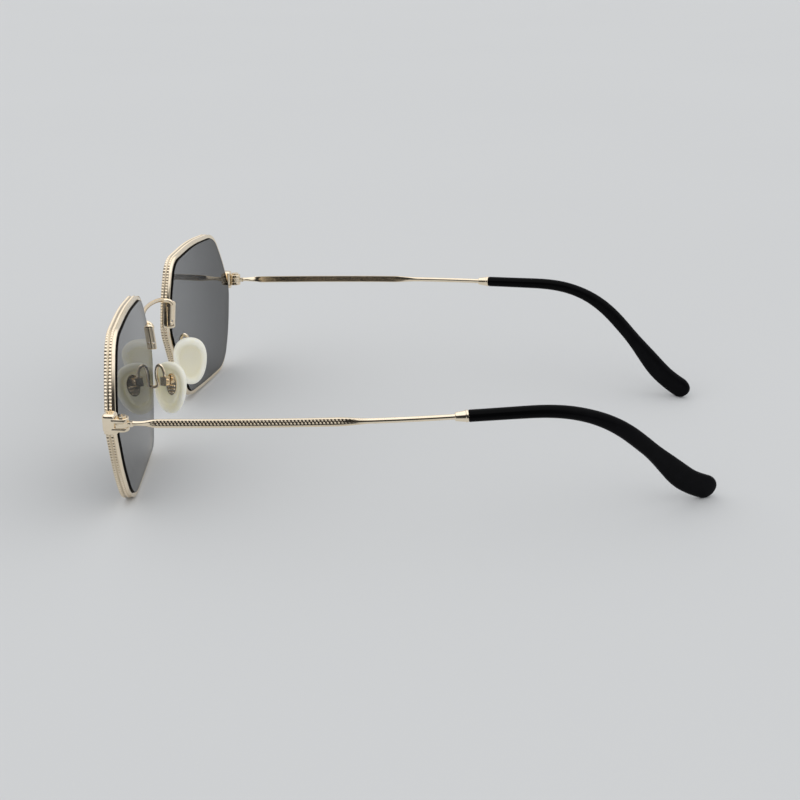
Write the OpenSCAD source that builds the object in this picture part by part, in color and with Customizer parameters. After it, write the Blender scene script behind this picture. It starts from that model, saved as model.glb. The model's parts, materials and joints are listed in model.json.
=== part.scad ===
// Six-sided metal sunglasses that stand open on their rims and temple tips.
// Millimetres. +X is the wearer's left, the lenses face -Y, the temples run back along +Y.

/* [Lenses] */
// Width of a lens from its outer corner to its nose-side corner
lens_w = 52; // [46:0.5:56]
// Gap between the two lenses at their nose-side corners
lens_gap = 20.5; // [18:0.5:24]
// Height of the outer corner above the lens centre
side_out_up = 1.2; // [-2:0.1:4]
// Height of the nose-side corner above the lens centre
side_in_up = 3; // [0:0.1:5]
// Distance of the outer top corner from the lens centre line
top_out = 15.7; // [13:0.1:18]
// Distance of the inner top corner from the lens centre line
top_in = 18.3; // [15:0.1:20]
// Height of the outer top corner above the lens centre
top_out_up = 20; // [17:0.1:23]
// Height of the inner top corner above the lens centre
top_in_up = 20.5; // [18:0.1:24]
// Distance of the outer bottom corner from the lens centre line
bottom_out = 16.4; // [13:0.1:19]
// Distance of the inner bottom corner from the lens centre line
bottom_in = 15; // [12:0.1:18]
// Depth of the outer bottom corner below the lens centre
bottom_out_down = 20.6; // [17:0.1:23]
// Depth of the inner bottom corner below the lens centre
bottom_in_down = 19.2; // [16:0.1:22]
// Radius of the corners at the two sides of a lens
side_r = 7.8; // [3:0.1:10]
// Radius of the outer top corner
top_out_r = 9; // [3:0.5:10]
// Radius of the inner top corner
top_in_r = 6.5; // [3:0.5:10]
// Radius of the inner bottom corner
bottom_in_r = 5; // [3:0.5:10]
// Radius of the outer bottom corner
bottom_out_r = 10; // [3:0.5:11]
// How far the three upper side edges bulge past a straight line
side_bow = 1; // [0.4:0.1:1.6]
// How far the top edge bulges past a straight line
top_bow = 1.4; // [0.4:0.1:2]
// How far the bottom edge bulges past a straight line
bottom_bow = 0.4; // [0.3:0.1:1.2]
// How far the outer lower edge bulges past a straight line
low_bow = 1.6; // [0.4:0.1:2]
// Thickness of a lens
lens_t = 2.2; // [1.6:0.1:2.4]
// Turn of each lens back towards the temple, in degrees
wrap = 5.9; // [2:0.1:8]
// Lean of the lens tops towards the front, in degrees
tilt = 2; // [0:0.1:6]

/* [Rims] */
// Thickness of the rim wire, seen from the front
rim_wall = 1.2; // [1:0.05:1.5]
// Depth of the rim wire, front to back
rim_depth = 2.6; // [2.4:0.1:3.5]
// Width of each of the two milled rows on the outside of the rim
bead_row_w = 0.7; // [0.5:0.05:0.8]
// Width of the furrow between the milled rows
furrow_w = 0.4; // [0.2:0.05:0.5]
// Depth of the furrow between the milled rows
furrow_depth = 0.2; // [0.1:0.05:0.3]
// Step from the milled rows down to the plain back band
back_band_step = 0.1; // [0.05:0.05:0.2]
// Depth of the groove that holds the lens edge
groove_depth = 0.45; // [0.3:0.05:0.6]
// Width of the groove that holds the lens edge
groove_w = 0.8; // [0.6:0.05:1]
// Play between the lens and the rim
lens_play = 0.05; // [0.03:0.01:0.08]
// Depth of the middle of that groove, in front of the back of the rim
groove_in = 0.9; // [0.8:0.1:1.4]
// How far the back of the lens stands out behind the rim
lens_out = 0.4; // [0:0.1:0.8]

/* [Bridge] */
// Radius of the bridge wire
bridge_r = 0.58; // [0.5:0.02:0.7]
// Rise of the bridge above the tops of its feet
bridge_rise = 1.9; // [1:0.1:4]
// How far the bridge bows forward of the rim backs
bridge_reach = 3.3; // [2.6:0.1:4.5]
// Height of each bridge foot
foot_h = 7; // [6:0.1:9]
// Height of the bottom of each foot above the nose-side corner of the lens
foot_up = 0.8; // [0.2:0.1:2]
// Thickness of each foot
foot_t = 0.9; // [0.7:0.05:1.1]
// How far each foot runs behind the rim
foot_back = 1.7; // [0.8:0.1:2.2]
// Depth of each foot, front to back
foot_depth = 3; // [2.4:0.1:3.4]
// How far each foot wraps over the back of the rim
foot_wrap = 0.8; // [0.4:0.1:1]
// Radius of the small hole near the lower back corner of each foot
foot_hole_r = 0.35; // [0.2:0.05:0.4]

/* [Hinges] */
// Height of the hinges above the lens centres
hinge_up = 3.5; // [2:0.1:6]
// Distance from the outer lens corner out to the hinge pin
hinge_out = 2; // [1.8:0.1:2.6]
// Distance from the rim back to the hinge pin
hinge_back = 2.1; // [2.1:0.1:3.2]
// Sideways lean of the hinge pins, so that folded temples cross, in degrees
hinge_lean = 4; // [2:0.5:6]
// Radius of the hinge barrel
barrel_r = 1.6; // [1.4:0.1:1.8]
// Height of the whole hinge barrel
barrel_h = 3.2; // [3:0.1:4]
// Height of the knuckle on the temple
knuckle_h = 1.2; // [1:0.1:1.4]
// Radius of the hinge screw
screw_r = 0.55; // [0.45:0.05:0.65]
// Radius of the hinge screw's head
screw_head_r = 1; // [0.9:0.05:1.2]
// Thickness of the hinge screw's head
screw_head_t = 0.45; // [0.3:0.05:0.6]
// Play between the two halves of the hinge
hinge_play = 0.04; // [0.03:0.01:0.06]
// Height of the end piece above the hinge centre
end_up = 2.6; // [2.2:0.1:3.2]
// Height of the end piece below the hinge centre
end_down = 1.6; // [1.5:0.1:2.1]
// Depth of the end piece, front to back
end_depth = 3.2; // [2.8:0.1:4]
// Thickness of the block that closes the rim under the end piece
lock_t = 0.8; // [0.7:0.1:1.2]
// Radius of the screw that closes the rim
lock_screw_r = 0.4; // [0.3:0.05:0.5]
// Width of the cut where the rim opens
rim_cut = 0.1; // [0.06:0.01:0.2]

/* [Temples] */
// Length of a temple from its hinge pin to the start of the tip
arm_len = 80; // [70:0.5:90]
// Length of a temple tip
tip_len = 74; // [66:0.5:78]
// Thickness of the flat part of a temple
arm_t = 1.2; // [1:0.05:1.4]
// Height of the milled part of a temple
arm_h = 1.9; // [1.4:0.05:2.2]
// Length of the milled part of a temple
milled_len = 50; // [40:1:56]
// Radius of the round wire that goes into the tip
wire_r = 0.65; // [0.55:0.05:0.75]
// Slope of the temples up towards the ears, in degrees
arm_lift = 1.9; // [0:0.1:3]
// Turn of the temples towards the head where the tips start, in degrees
arm_in = 10.7; // [4:0.1:14]
// Turn of the tips towards the head at their ends, in degrees
tip_in = 32; // [20:1:44]
// Turn of the tips down behind the ears, in degrees
tip_drop = 44; // [38:1:48]
// Length of the cone between the wire and the tip
ferrule_len = 3.1; // [2.4:0.1:4]
// Depth of the socket in the tip for the wire
socket_len = 9; // [6:0.5:10]

/* [Temple tips] */
// Radius of the tip where it starts
tip_r = 1.45; // [1.2:0.05:1.8]
// Height of the tip through the bend
tip_bend_h = 3.5; // [3:0.1:4.5]
// Height of the paddle at the end
paddle_h = 6.7; // [5:0.1:8]
// Length of the widened end of the tip
paddle_len = 26.5; // [20:0.5:32]
// Length over which the tip widens into the paddle
flare_len = 16; // [12:0.5:19]
// Thickness of the paddle at the end
paddle_t = 2.4; // [2:0.1:3]

/* [Nose pads] */
// Height of a pad
pad_h = 14.2; // [11:0.1:16]
// Width of a pad
pad_w = 9.2; // [7:0.1:10]
// Thickness of a pad
pad_t = 2.2; // [1.8:0.1:2.6]
// Distance of the pad centres from the middle of the bridge
pad_out = 11.4; // [10.5:0.1:12.5]
// Distance of the pad centres behind the rim back at the nose
pad_back = 4.9; // [4.2:0.1:6]
// Depth of the pad centres below the lens centres
pad_down = 6.2; // [4:0.1:7]
// Turn of the pads, their back edges away from the nose, in degrees
pad_splay = 14; // [8:1:28]
// Lean of the pads, their lower ends apart, in degrees
pad_flare = 5; // [0:1:10]
// Radius of the pad arm wire
pad_arm_r = 0.45; // [0.35:0.05:0.55]
// Play of the pad's lug in its box
pad_play = 0.04; // [0.03:0.01:0.06]

/* [Hidden] */
$fn = 48;
left = 1;
right = -1;
slack = 1;

gold = [0.86, 0.72, 0.55];
smoke = [0.42, 0.43, 0.45, 0.75];
milky = [0.86, 0.85, 0.72];
black = [0.08, 0.08, 0.08];

// Lens outline. Each knot is a corner point and the radius of its arc; between two corners lies
// the middle of the bowed edge. An offset of the outline keeps every arc's centre.
arc_steps = 5;
bow_share = 0.4;
corner_share = 0.55;
corners = [[lens_w / 2, side_out_up], [top_out, top_out_up], [-top_in, top_in_up],
    [-lens_w / 2, side_in_up], [-bottom_in, -bottom_in_down], [bottom_out, -bottom_out_down]];
corner_r = [side_r, top_out_r, top_in_r, side_r, bottom_in_r, bottom_out_r];
edge_bow = [side_bow, top_bow, side_bow, side_bow, bottom_bow, low_bow];

function unit(v) = v / norm(v);
function outward(a, b) = let (e = unit(b - a)) [e[1], -e[0]];
knots = [for (i = [0:5])
    let (a = corners[i], b = corners[(i + 1) % 6], half = norm(b - a) / 2, bow = edge_bow[i])
    each [[a, corner_r[i], corner_share * half],
        [(a + b) / 2 + outward(a, b) * bow, bow_share * half * half / bow, bow_share * half]]];
function knot_arc(i, d) =
    let (n = len(knots), p = knots[i][0],
        n1 = outward(knots[(i + n - 1) % n][0], p), n2 = outward(p, knots[(i + 1) % n][0]),
        turn = acos(n1 * n2), r = min(knots[i][1], knots[i][2] / tan(turn / 2)),
        centre = p - (n1 + n2) / (1 + n1 * n2) * r, start = atan2(n1[1], n1[0]))
    [for (k = [0:arc_steps]) let (a = start + turn * k / arc_steps) centre + (r + d) * [cos(a), sin(a)]];
function outline(d) = [for (i = [0:len(knots) - 1]) each knot_arc(i, d)];
// Distance of the outline from the lens centre line, on the nose side at a height v
function nose_edge(d, v) = let (o = outline(d), n = len(o)) -min([for (i = [0:n - 1])
    let (a = o[i], b = o[(i + 1) % n]) if (a[1] != b[1] && (a[1] - v) * (b[1] - v) <= 0)
    a[0] + (b[0] - a[0]) * (v - a[1]) / (b[1] - a[1])]);

// Place of the lenses. The rims stand on the table, so the lens centre's height follows from
// the lowest point of the tilted rim. The local Y is 0 at the back of the rim.
lens_x = lens_gap / 2 + lens_w / 2 * cos(wrap);
rim_low = min([for (p = outline(rim_wall)) p[1]]);
lens_z = -(rim_low * cos(tilt) - rim_depth * sin(tilt));
function rot_x(p, a) = [p[0], p[1] * cos(a) - p[2] * sin(a), p[1] * sin(a) + p[2] * cos(a)];
function rot_y(p, a) = [p[0] * cos(a) + p[2] * sin(a), p[1], p[2] * cos(a) - p[0] * sin(a)];
function rot_z(p, a) = [p[0] * cos(a) - p[1] * sin(a), p[0] * sin(a) + p[1] * cos(a), p[2]];
function on_lens(u, back, v) = rot_z(rot_x([u, back, v], tilt), wrap) + [lens_x, 0, lens_z];

// Hinge pin, found from the outer corner of the lens
hinge_side = on_lens(lens_w / 2, 0, hinge_up);
hinge_at = [lens_x + (lens_w / 2 + hinge_out) * cos(wrap), hinge_side[1] + hinge_back, hinge_side[2]];
tail_past = 1;
tail_len = barrel_r + tail_past;
lug_h = (barrel_h - knuckle_h) / 2 - hinge_play;
lug_from = knuckle_h / 2 + hinge_play;
barrel_gap = 0.1;
barrel_bite = 0.35;
end_back = -(barrel_r - barrel_bite);
end_front = end_back - end_depth;
end_round = 0.9;
stop_y = end_back + hinge_play;

// Route of a temple: the heading turns towards the head and the pitch turns down, both as
// smooth ramps of the length along the temple.
step = 1.5;
route_len = arm_len + tip_len;
function ramp(s, from, to) = let (t = min(1, max(0, (s - from) / (to - from)))) t * t * (3 - 2 * t);
cone_at = arm_len - ferrule_len;
curl_from = 17;
curl_to = 49;
drop_from = 12;
drop_to = 45;
lift_from = 58;
lift_to = 74;
lift_back = 21;
arm_power = 2.1;
function heading(s) = s < cone_at ? arm_in * pow(s / cone_at, arm_power)
    : arm_in + (tip_in - arm_in) * ramp(s - arm_len, curl_from, curl_to);
function pitch(s) = arm_lift - tip_drop * ramp(s - arm_len, drop_from, drop_to)
    + lift_back * ramp(s - arm_len, lift_from, lift_to);
function along(s) = rot_z([0, cos(pitch(s)), sin(pitch(s))], heading(s));
function upright(s) = rot_z([0, -sin(pitch(s)), cos(pitch(s))], heading(s));
function across(s) = rot_z([1, 0, 0], heading(s));
steps = ceil(route_len / step);
ds = route_len / steps;
flat_route = [for (i = 0, p = [0, 0, 0]; i <= steps; p = p + ds * along((i + 0.5) * ds), i = i + 1) p];
function route_flat(s) = let (i = min(steps - 1, floor(s / ds)), t = s / ds - i)
    flat_route[i] * (1 - t) + flat_route[i + 1] * t;

// Half height and half thickness of the tip, with an oval end
paddle_round = paddle_h / 2;
flare_from = tip_len - paddle_len;
function tip_close(s) =
    let (t = max(0, (s - (route_len - paddle_round)) / paddle_round)) sqrt(max(0, 1 - t * t));
function tip_up(s) = let (t = s - arm_len)
    (tip_r + (tip_bend_h / 2 - tip_r) * ramp(t, 0, flare_from)
        + (paddle_h - tip_bend_h) / 2 * ramp(t, flare_from, flare_from + flare_len)) * tip_close(s);
function tip_side(s) = let (t = s - arm_len)
    (tip_r + (paddle_t / 2 - tip_r) * ramp(t, 0, tip_len)) * sqrt(tip_close(s));

// The drop of the temples is scaled so that the tips just meet the table
tip_cuts = 34;
end_cuts = [15:12:87];
tip_stations = concat([for (i = [0:tip_cuts]) arm_len + (tip_len - paddle_round) * i / tip_cuts],
    [for (a = end_cuts) route_len - paddle_round * (1 - sin(a))]);
drop_scale = min([for (s = tip_stations) let (z = route_flat(s)[2]) if (z < -slack)
    (hinge_at[2] - tip_up(s) * cos(pitch(s))) / -z]);
function route(s) = let (p = route_flat(s)) hinge_at + [p[0], p[1], p[2] * drop_scale];
function ring(s, side, up, n) = [for (k = [0:n - 1])
    route(s) + across(s) * side * cos(360 * k / n) + upright(s) * up * sin(360 * k / n)];

tip_sides = 16;
tip_rings = [for (s = tip_stations) ring(s, tip_side(s), tip_up(s), tip_sides)];

// Middle of the object from front to back
bridge_y = on_lens(-lens_w / 2, 0, side_in_up)[1] - bridge_reach;
front_y = bridge_y - bridge_r;
back_y = max([for (r = tip_rings) for (p = r) p[1]]);
middle_y = (front_y + back_y) / 2;

// Nose pads: the turn and the centre of the left pad
pad_at = [pad_out, on_lens(-lens_w / 2, 0, 0)[1] + pad_back, lens_z - pad_down];
core_t = 0.5;
lug_t = 0.9;
lug_reach = 1.2;
lug_r = 0.6;
rock_gap = 0.12;
box_wall = 0.4;
box_h = 2.4;
box_gap = 0.4;
box_back = lug_r + rock_gap + box_wall;
pivot_back = pad_t / 2 + core_t + lug_reach;
pivot_up = 2.6;
pad_screw_head_r = 0.6;
pad_screw_head_t = 0.3;
pad_screw_r = 0.35;
core_h = 6;
core_w = 3;
core_up = 1.4;
core_side = 1.1;
function in_pad(p) = pad_at + rot_z(rot_y(p, -pad_flare), -pad_splay);

// Common shapes

module placed(side) {
    translate([0, -middle_y, 0]) mirror([side == right ? 1 : 0, 0, 0]) children();
}

module at_lens() {
    translate([lens_x, 0, lens_z]) rotate([0, 0, wrap]) rotate([tilt, 0, 0]) children();
}

module at_hinge() {
    translate(hinge_at) rotate([0, hinge_lean, 0]) children();
}

module at_pad() {
    translate(pad_at) rotate([0, 0, -pad_splay]) rotate([0, -pad_flare, 0]) children();
}

// A slice of the lens outline, widened by d, between two depths
module slice(from, to, d) {
    translate([0, to, 0]) rotate([90, 0, 0]) linear_extrude(to - from) polygon(outline(d));
}

// A rectangle with its corners on quarter circles
module rounded(size, r) {
    union() {
        translate([r, 0]) square([size[0] - 2 * r, size[1]]);
        translate([0, r]) square([size[0], size[1] - 2 * r]);
        for (x = [r, size[0] - r], y = [r, size[1] - r]) translate([x, y]) circle(r);
    }
}

function oval(w, h, n) = [for (k = [0:n - 1]) [w / 2 * cos(360 * k / n), h / 2 * sin(360 * k / n)]];

// A closed skin through rings of equal count
module skin(rings) {
    n = len(rings[0]);
    m = len(rings);
    points = [for (r = rings) each r];
    sides = [for (i = [0:m - 2], k = [0:n - 1])
        each [[i * n + k, i * n + (k + 1) % n, (i + 1) * n + (k + 1) % n],
            [i * n + k, (i + 1) * n + (k + 1) % n, (i + 1) * n + k]]];
    start_cap = [for (k = [0:n - 1]) n - 1 - k];
    end_cap = [for (k = [0:n - 1]) (m - 1) * n + k];
    polyhedron(points, concat(sides, [start_cap, end_cap]));
}

// A round bar along points, each ring square to the path. The path never runs along off_path.
module bar(points, r, n, off_path) {
    m = len(points);
    skin([for (i = [0:m - 1])
        let (t = unit(points[min(m - 1, i + 1)] - points[max(0, i - 1)]),
            a = unit(cross(t, off_path)), b = cross(a, t))
        [for (k = [0:n - 1]) points[i] + r * (a * cos(360 * k / n) + b * sin(360 * k / n))]]);
}

function bezier(p, t) = let (u = 1 - t)
    p[0] * u * u * u + 3 * p[1] * t * u * u + 3 * p[2] * t * t * u + p[3] * t * t * t;
function bend(p, n) = [for (i = [0:n]) bezier(p, i / n)];

// Rims and lenses

row_1 = -rim_depth;
furrow_1 = row_1 + bead_row_w;
row_2 = furrow_1 + furrow_w;
band_1 = row_2 + bead_row_w;
cut_at = -end_down;

module rim(side) {
    color(gold) placed(side) difference() {
        at_lens() difference() {
            union() {
                slice(row_1, furrow_1, rim_wall);
                slice(furrow_1, row_2, rim_wall - furrow_depth);
                slice(row_2, band_1, rim_wall);
                slice(band_1, 0, rim_wall - back_band_step);
            }
            slice(row_1 - slack, slack, 0);
            slice(-groove_in - groove_w / 2, -groove_in + groove_w / 2, groove_depth);
        }
        at_hinge() translate([-4 * barrel_r, -4 * rim_depth, cut_at - rim_cut])
            cube([8 * barrel_r, 8 * rim_depth, rim_cut]);
    }
}

module lens(side) {
    tongue_w = groove_w - 2 * lens_play;
    color(smoke) placed(side) at_lens() union() {
        slice(lens_out - lens_t, lens_out, -lens_play);
        slice(-groove_in - tongue_w / 2, -groove_in + tongue_w / 2, groove_depth - lens_play);
    }
}

// Bridge: an arched wire whose ends lie as flat feet on the nose sides of the rims

foot_from = side_in_up + foot_up;
foot_top = foot_from + foot_h;
hole_in = 0.7;
hole_up = 2.1;
bridge_steps = 7;
bridge_sides = 12;
bridge_z = on_lens(-lens_w / 2, 0, foot_top)[2] + bridge_rise;

// The wire leaves the arch in front of each foot, turns back over its top and goes down into it.
// The bends pull it to these places, seen from the middle of the foot's top.
foot_at = on_lens(-nose_edge(rim_wall + foot_t / 2, foot_top), 0, foot_top);
arch_share = 0.41;
arch_end = [-2.9, -2, 1.8];
turn_from = [-1.1, -1.4, 1];
turn_mid = [-0.3, -0.6, 0.7];
turn_top = [-0.15, 1.1, 0.95];
turn_end = [-0.1, 1.2, -0.8];
arch = bend([[0, bridge_y, bridge_z], [foot_at[0] * arch_share, bridge_y, bridge_z], foot_at + arch_end,
    foot_at + turn_from], bridge_steps);
over_foot = bend([foot_at + turn_from, foot_at + turn_mid, foot_at + turn_top, foot_at + turn_end],
    bridge_steps);
half_bridge = concat(arch, [for (i = [1:bridge_steps]) over_foot[i]]);
half_steps = 2 * bridge_steps;
other_half = [for (i = [half_steps:-1:1]) let (p = half_bridge[i]) [-p[0], p[1], p[2]]];

module foot() {
    at_lens() difference() {
        intersection() {
            slice(foot_back - foot_depth, foot_back, rim_wall + foot_t);
            translate([-lens_w, -2 * foot_depth, foot_from]) cube([lens_w, 4 * foot_depth, foot_h]);
        }
        slice(-4 * foot_depth, 0, rim_wall);
        slice(-4 * foot_depth, 4 * foot_depth, rim_wall - foot_wrap);
        translate([-lens_w / 2 - rim_wall, foot_back - hole_in, foot_from + hole_up]) rotate([0, 90, 0])
            cylinder(8 * foot_t, r = foot_hole_r, center = true);
    }
}

module bridge() {
    color(gold) placed(left) union() {
        foot();
        mirror([1, 0, 0]) foot();
        bar(concat(other_half, half_bridge), bridge_r, bridge_sides, [0, 1, 1]);
    }
}

// Hinges and rim locks

end_out = barrel_r;
end_gap = 0.3;
end_in = -(hinge_out - end_gap);
lock_screw_edge = 1.4;
lock_screw_x = end_out - lock_screw_edge;
lock_screw_y = (end_front + end_back) / 2;
lock_edge = 0.85;
lock_out = lock_screw_x + lock_edge;
lock_screw_in = 1.2;
lock_head_r = 0.7;
lock_head_t = 0.3;
lock_under = -end_down - rim_cut - lock_t;
slot_turn = 30;

// Cuts away what would lie inside the rim or in front of the lens
module off_rim() {
    difference() {
        children();
        at_lens() slice(-4 * rim_depth, 0, rim_wall);
    }
}

// Plan of the end piece and of the lock under it
module end_block(from, to, out) {
    translate([end_in, end_front, from]) linear_extrude(to - from)
        rounded([out - end_in, end_depth], end_round);
}

module end_piece(side) {
    color(gold) placed(side) difference() {
        off_rim() at_hinge() union() {
            end_block(-end_down, end_up, end_out);
            for (z = [-barrel_h / 2, lug_from]) translate([0, 0, z]) {
                cylinder(lug_h, r = barrel_r);
                translate([0, end_back - end_round, 0]) cube([barrel_r, end_round - end_back, lug_h]);
            }
        }
        at_hinge() {
            translate([0, 0, -knuckle_h / 2 - hinge_play])
                cylinder(knuckle_h + 2 * hinge_play, r = barrel_r + barrel_gap);
            cylinder(4 * barrel_h, r = screw_r + hinge_play, center = true);
            translate([lock_screw_x, lock_screw_y, -end_down - slack])
                cylinder(slack + lock_screw_in + hinge_play, r = lock_screw_r + hinge_play);
        }
    }
}

module rim_lock(side) {
    color(gold) placed(side) difference() {
        off_rim() at_hinge() end_block(lock_under, -end_down - rim_cut, lock_out);
        at_hinge() translate([lock_screw_x, lock_screw_y, lock_under - slack]) {
            cylinder(slack + 2 * lock_t, r = lock_screw_r + hinge_play);
            cylinder(slack + lock_head_t, r = lock_head_r + hinge_play);
        }
    }
}

module slotted_screw(r, len, head_r, head_t) {
    difference() {
        union() {
            translate([0, 0, -len]) cylinder(len, r = r);
            cylinder(head_t, r = head_r);
        }
        translate([-head_r - slack, -head_r / 8, head_t / 2])
            cube([2 * head_r + 2 * slack, head_r / 4, head_t]);
    }
}

module lock_screw(side) {
    len = lock_t - lock_head_t + rim_cut + lock_screw_in - hinge_play;
    color(gold) placed(side) at_hinge() translate([lock_screw_x, lock_screw_y, lock_under + lock_head_t])
        mirror([0, 0, 1]) slotted_screw(lock_screw_r, len, lock_head_r, lock_head_t);
}

module hinge_screw(side) {
    color(gold) placed(side) at_hinge() translate([0, 0, barrel_h / 2]) rotate([0, 0, slot_turn])
        slotted_screw(screw_r, barrel_h, screw_head_r, screw_head_t);
}

// Temples

module knuckle(side) {
    color(gold) placed(side) at_hinge() difference() {
        translate([0, 0, -knuckle_h / 2]) union() {
            cylinder(knuckle_h, r = barrel_r);
            translate([-arm_t / 2, 0, 0]) cube([arm_t, tail_len, knuckle_h]);
            translate([0, stop_y, 0]) cube([barrel_r, -stop_y, knuckle_h]);
        }
        cylinder(4 * knuckle_h, r = screw_r + hinge_play, center = true);
    }
}

neck_len = 8;
fade_len = 8;
wire_to = milled_len + fade_len;
function arm_up(s) = knuckle_h / 2 + (arm_h - knuckle_h) / 2 * ramp(s, tail_len, neck_len)
    + (wire_r - arm_h / 2) * ramp(s, milled_len, wire_to);
function arm_side(s) = arm_t / 2 + (wire_r - arm_t / 2) * ramp(s, milled_len, wire_to);
arm_cuts = 26;
arm_sides = 12;
wire_end = arm_len + socket_len;
arm_start = hinge_at + [0, tail_len, 0];
function arm_station(i) = tail_len + (cone_at - tail_len) * i / arm_cuts;

module temple(side) {
    first_ring = [for (p = oval(arm_t, knuckle_h, arm_sides)) arm_start + [p[0], 0, p[1]]];
    rings = [for (i = [1:arm_cuts]) let (s = arm_station(i)) ring(s, arm_side(s), arm_up(s), arm_sides)];
    end_ring = ring(wire_end, wire_r, wire_r, arm_sides);
    color(gold) placed(side) skin(concat([first_ring], rings, [end_ring]));
}

module along_tip() {
    translate(route(arm_len)) rotate([0, 0, heading(arm_len)]) rotate([pitch(arm_len) - 90, 0, 0])
        children();
}

ferrule_lip = 0.35;
ferrule_bore = wire_r + hinge_play;

module ferrule(side) {
    color(gold) placed(side) along_tip() rotate([180, 0, 0]) rotate_extrude()
        polygon([[ferrule_bore, 0], [tip_r, 0], [wire_r + ferrule_lip, ferrule_len],
            [ferrule_bore, ferrule_len]]);
}

end_play = 0.1;

module tip(side) {
    color(black) placed(side) difference() {
        skin(tip_rings);
        along_tip() translate([0, 0, -slack]) cylinder(slack + socket_len + end_play, r = ferrule_bore);
    }
}

// Nose pads and their arms

// The pad arm leaves the back of the rim, climbs beside it and comes down on the pad's box.
// The bends pull it to these places, seen from its root and from the pad's pivot.
root_down = 5.6;
root_gap = 0.1;
arm_root = on_lens(-nose_edge(rim_wall / 2, -root_down), root_gap, -root_down);
leave = [0, 2.4, 0];
climb = [0.2, 1.2, 1.6];
shoulder_at = [0.6, 1.3, 3.9];
crest = [0.4, 1.3, 7.6];
above_pad = [0.5, 4.8];
into_box = 0.3;
rise_steps = 6;
fall_steps = 8;
pad_arm_sides = 8;
box_top = in_pad([pivot_back + into_box, 0, pivot_up + box_h / 2 - into_box]);
rise = bend([arm_root, arm_root + leave, arm_root + climb, arm_root + shoulder_at], rise_steps);
fall = bend([arm_root + shoulder_at, arm_root + crest,
    in_pad([pivot_back + above_pad[0], 0, pivot_up + above_pad[1]]), box_top], fall_steps);
arm_route = concat(rise, [for (i = [1:fall_steps]) fall[i]]);

slot_half = lug_t / 2 + pad_play;
box_half = slot_half + box_wall;

// A cylinder across the pad at its pivot
module pivot_pin(r, len) {
    translate([pivot_back, 0, pivot_up]) rotate([90, 0, 0]) cylinder(len, r = r, center = true);
}

module pad_arm(side) {
    color(gold) placed(side) union() {
        bar(arm_route, pad_arm_r, pad_arm_sides, [1, 0.02, 0]);
        at_pad() difference() {
            translate([pivot_back - lug_reach + box_gap, -box_half, pivot_up - box_h / 2])
                cube([lug_reach - box_gap + box_back, 2 * box_half, box_h]);
            translate([pivot_back - 2 * lug_reach, -slot_half, pivot_up - box_h / 2 - slack])
                cube([2 * lug_reach + lug_r + rock_gap, 2 * slot_half, box_h + slack - box_wall]);
            pivot_pin(pad_screw_r + pad_play, 4 * box_half);
        }
    }
}

module pad_screw(side) {
    color(gold) placed(side) at_pad() translate([pivot_back, box_half, pivot_up]) rotate([-90, 0, 0])
        slotted_screw(pad_screw_r, 2 * box_half, pad_screw_head_r, pad_screw_head_t);
}

core_sides = 32;

module pad_core(side) {
    color(gold) placed(side) at_pad() difference() {
        union() {
            translate([pad_t / 2, core_side, core_up]) rotate([90, 0, 90]) linear_extrude(core_t)
                polygon(oval(core_w, core_h, core_sides));
            translate([pad_t / 2, -lug_t / 2, pivot_up - lug_r])
                cube([core_t + lug_reach, lug_t, 2 * lug_r]);
            pivot_pin(lug_r, lug_t);
        }
        pivot_pin(pad_screw_r + pad_play, 4 * lug_t);
    }
}

// Each ring of a pad: its place as a share of the thickness, and its size as a share of the outline
pad_profile = [[0.5, 0.86], [0.3, 0.97], [0, 1], [-0.25, 0.96], [-0.42, 0.82], [-0.5, 0.5]];
pad_sides = 28;
function pad_ring(x, grow) =
    [for (p = oval(pad_w * grow, pad_h * grow, pad_sides)) in_pad([x, p[0], p[1]])];

module nose_pad(side) {
    color(milky) placed(side) skin([for (q = pad_profile) pad_ring(pad_t * q[0], q[1])]);
}

rim(left);  // rim_left
rim(right);  // rim_right
lens(left);  // lens_left
lens(right);  // lens_right
bridge();
end_piece(left);  // end_piece_left
end_piece(right);  // end_piece_right
rim_lock(left);  // rim_lock_left
rim_lock(right);  // rim_lock_right
lock_screw(left);  // lock_screw_left
lock_screw(right);  // lock_screw_right
hinge_screw(left);  // hinge_screw_left
hinge_screw(right);  // hinge_screw_right
pad_arm(left);  // pad_arm_left
pad_arm(right);  // pad_arm_right
pad_screw(left);  // pad_screw_left
pad_screw(right);  // pad_screw_right
pad_core(left);  // pad_core_left
pad_core(right);  // pad_core_right
nose_pad(left);  // nose_pad_left
nose_pad(right);  // nose_pad_right
knuckle(left);  // knuckle_left
knuckle(right);  // knuckle_right
temple(left);  // temple_left
temple(right);  // temple_right
ferrule(left);  // ferrule_left
ferrule(right);  // ferrule_right
tip(left);  // tip_left
tip(right);  // tip_right
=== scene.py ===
"""Six-sided metal sunglasses that stand open on their rims and temple tips.

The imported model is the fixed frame. Every new piece is worked out in millimetres in that frame, as a
grid of points, and scaled to metres when its mesh is made. The right half mirrors the left one.
"""

import json
import logging
import math
from collections.abc import Callable
from dataclasses import dataclass
from enum import Enum
from typing import ClassVar

import bmesh
import bpy
import numpy as np
from mathutils import Matrix, Vector

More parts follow.
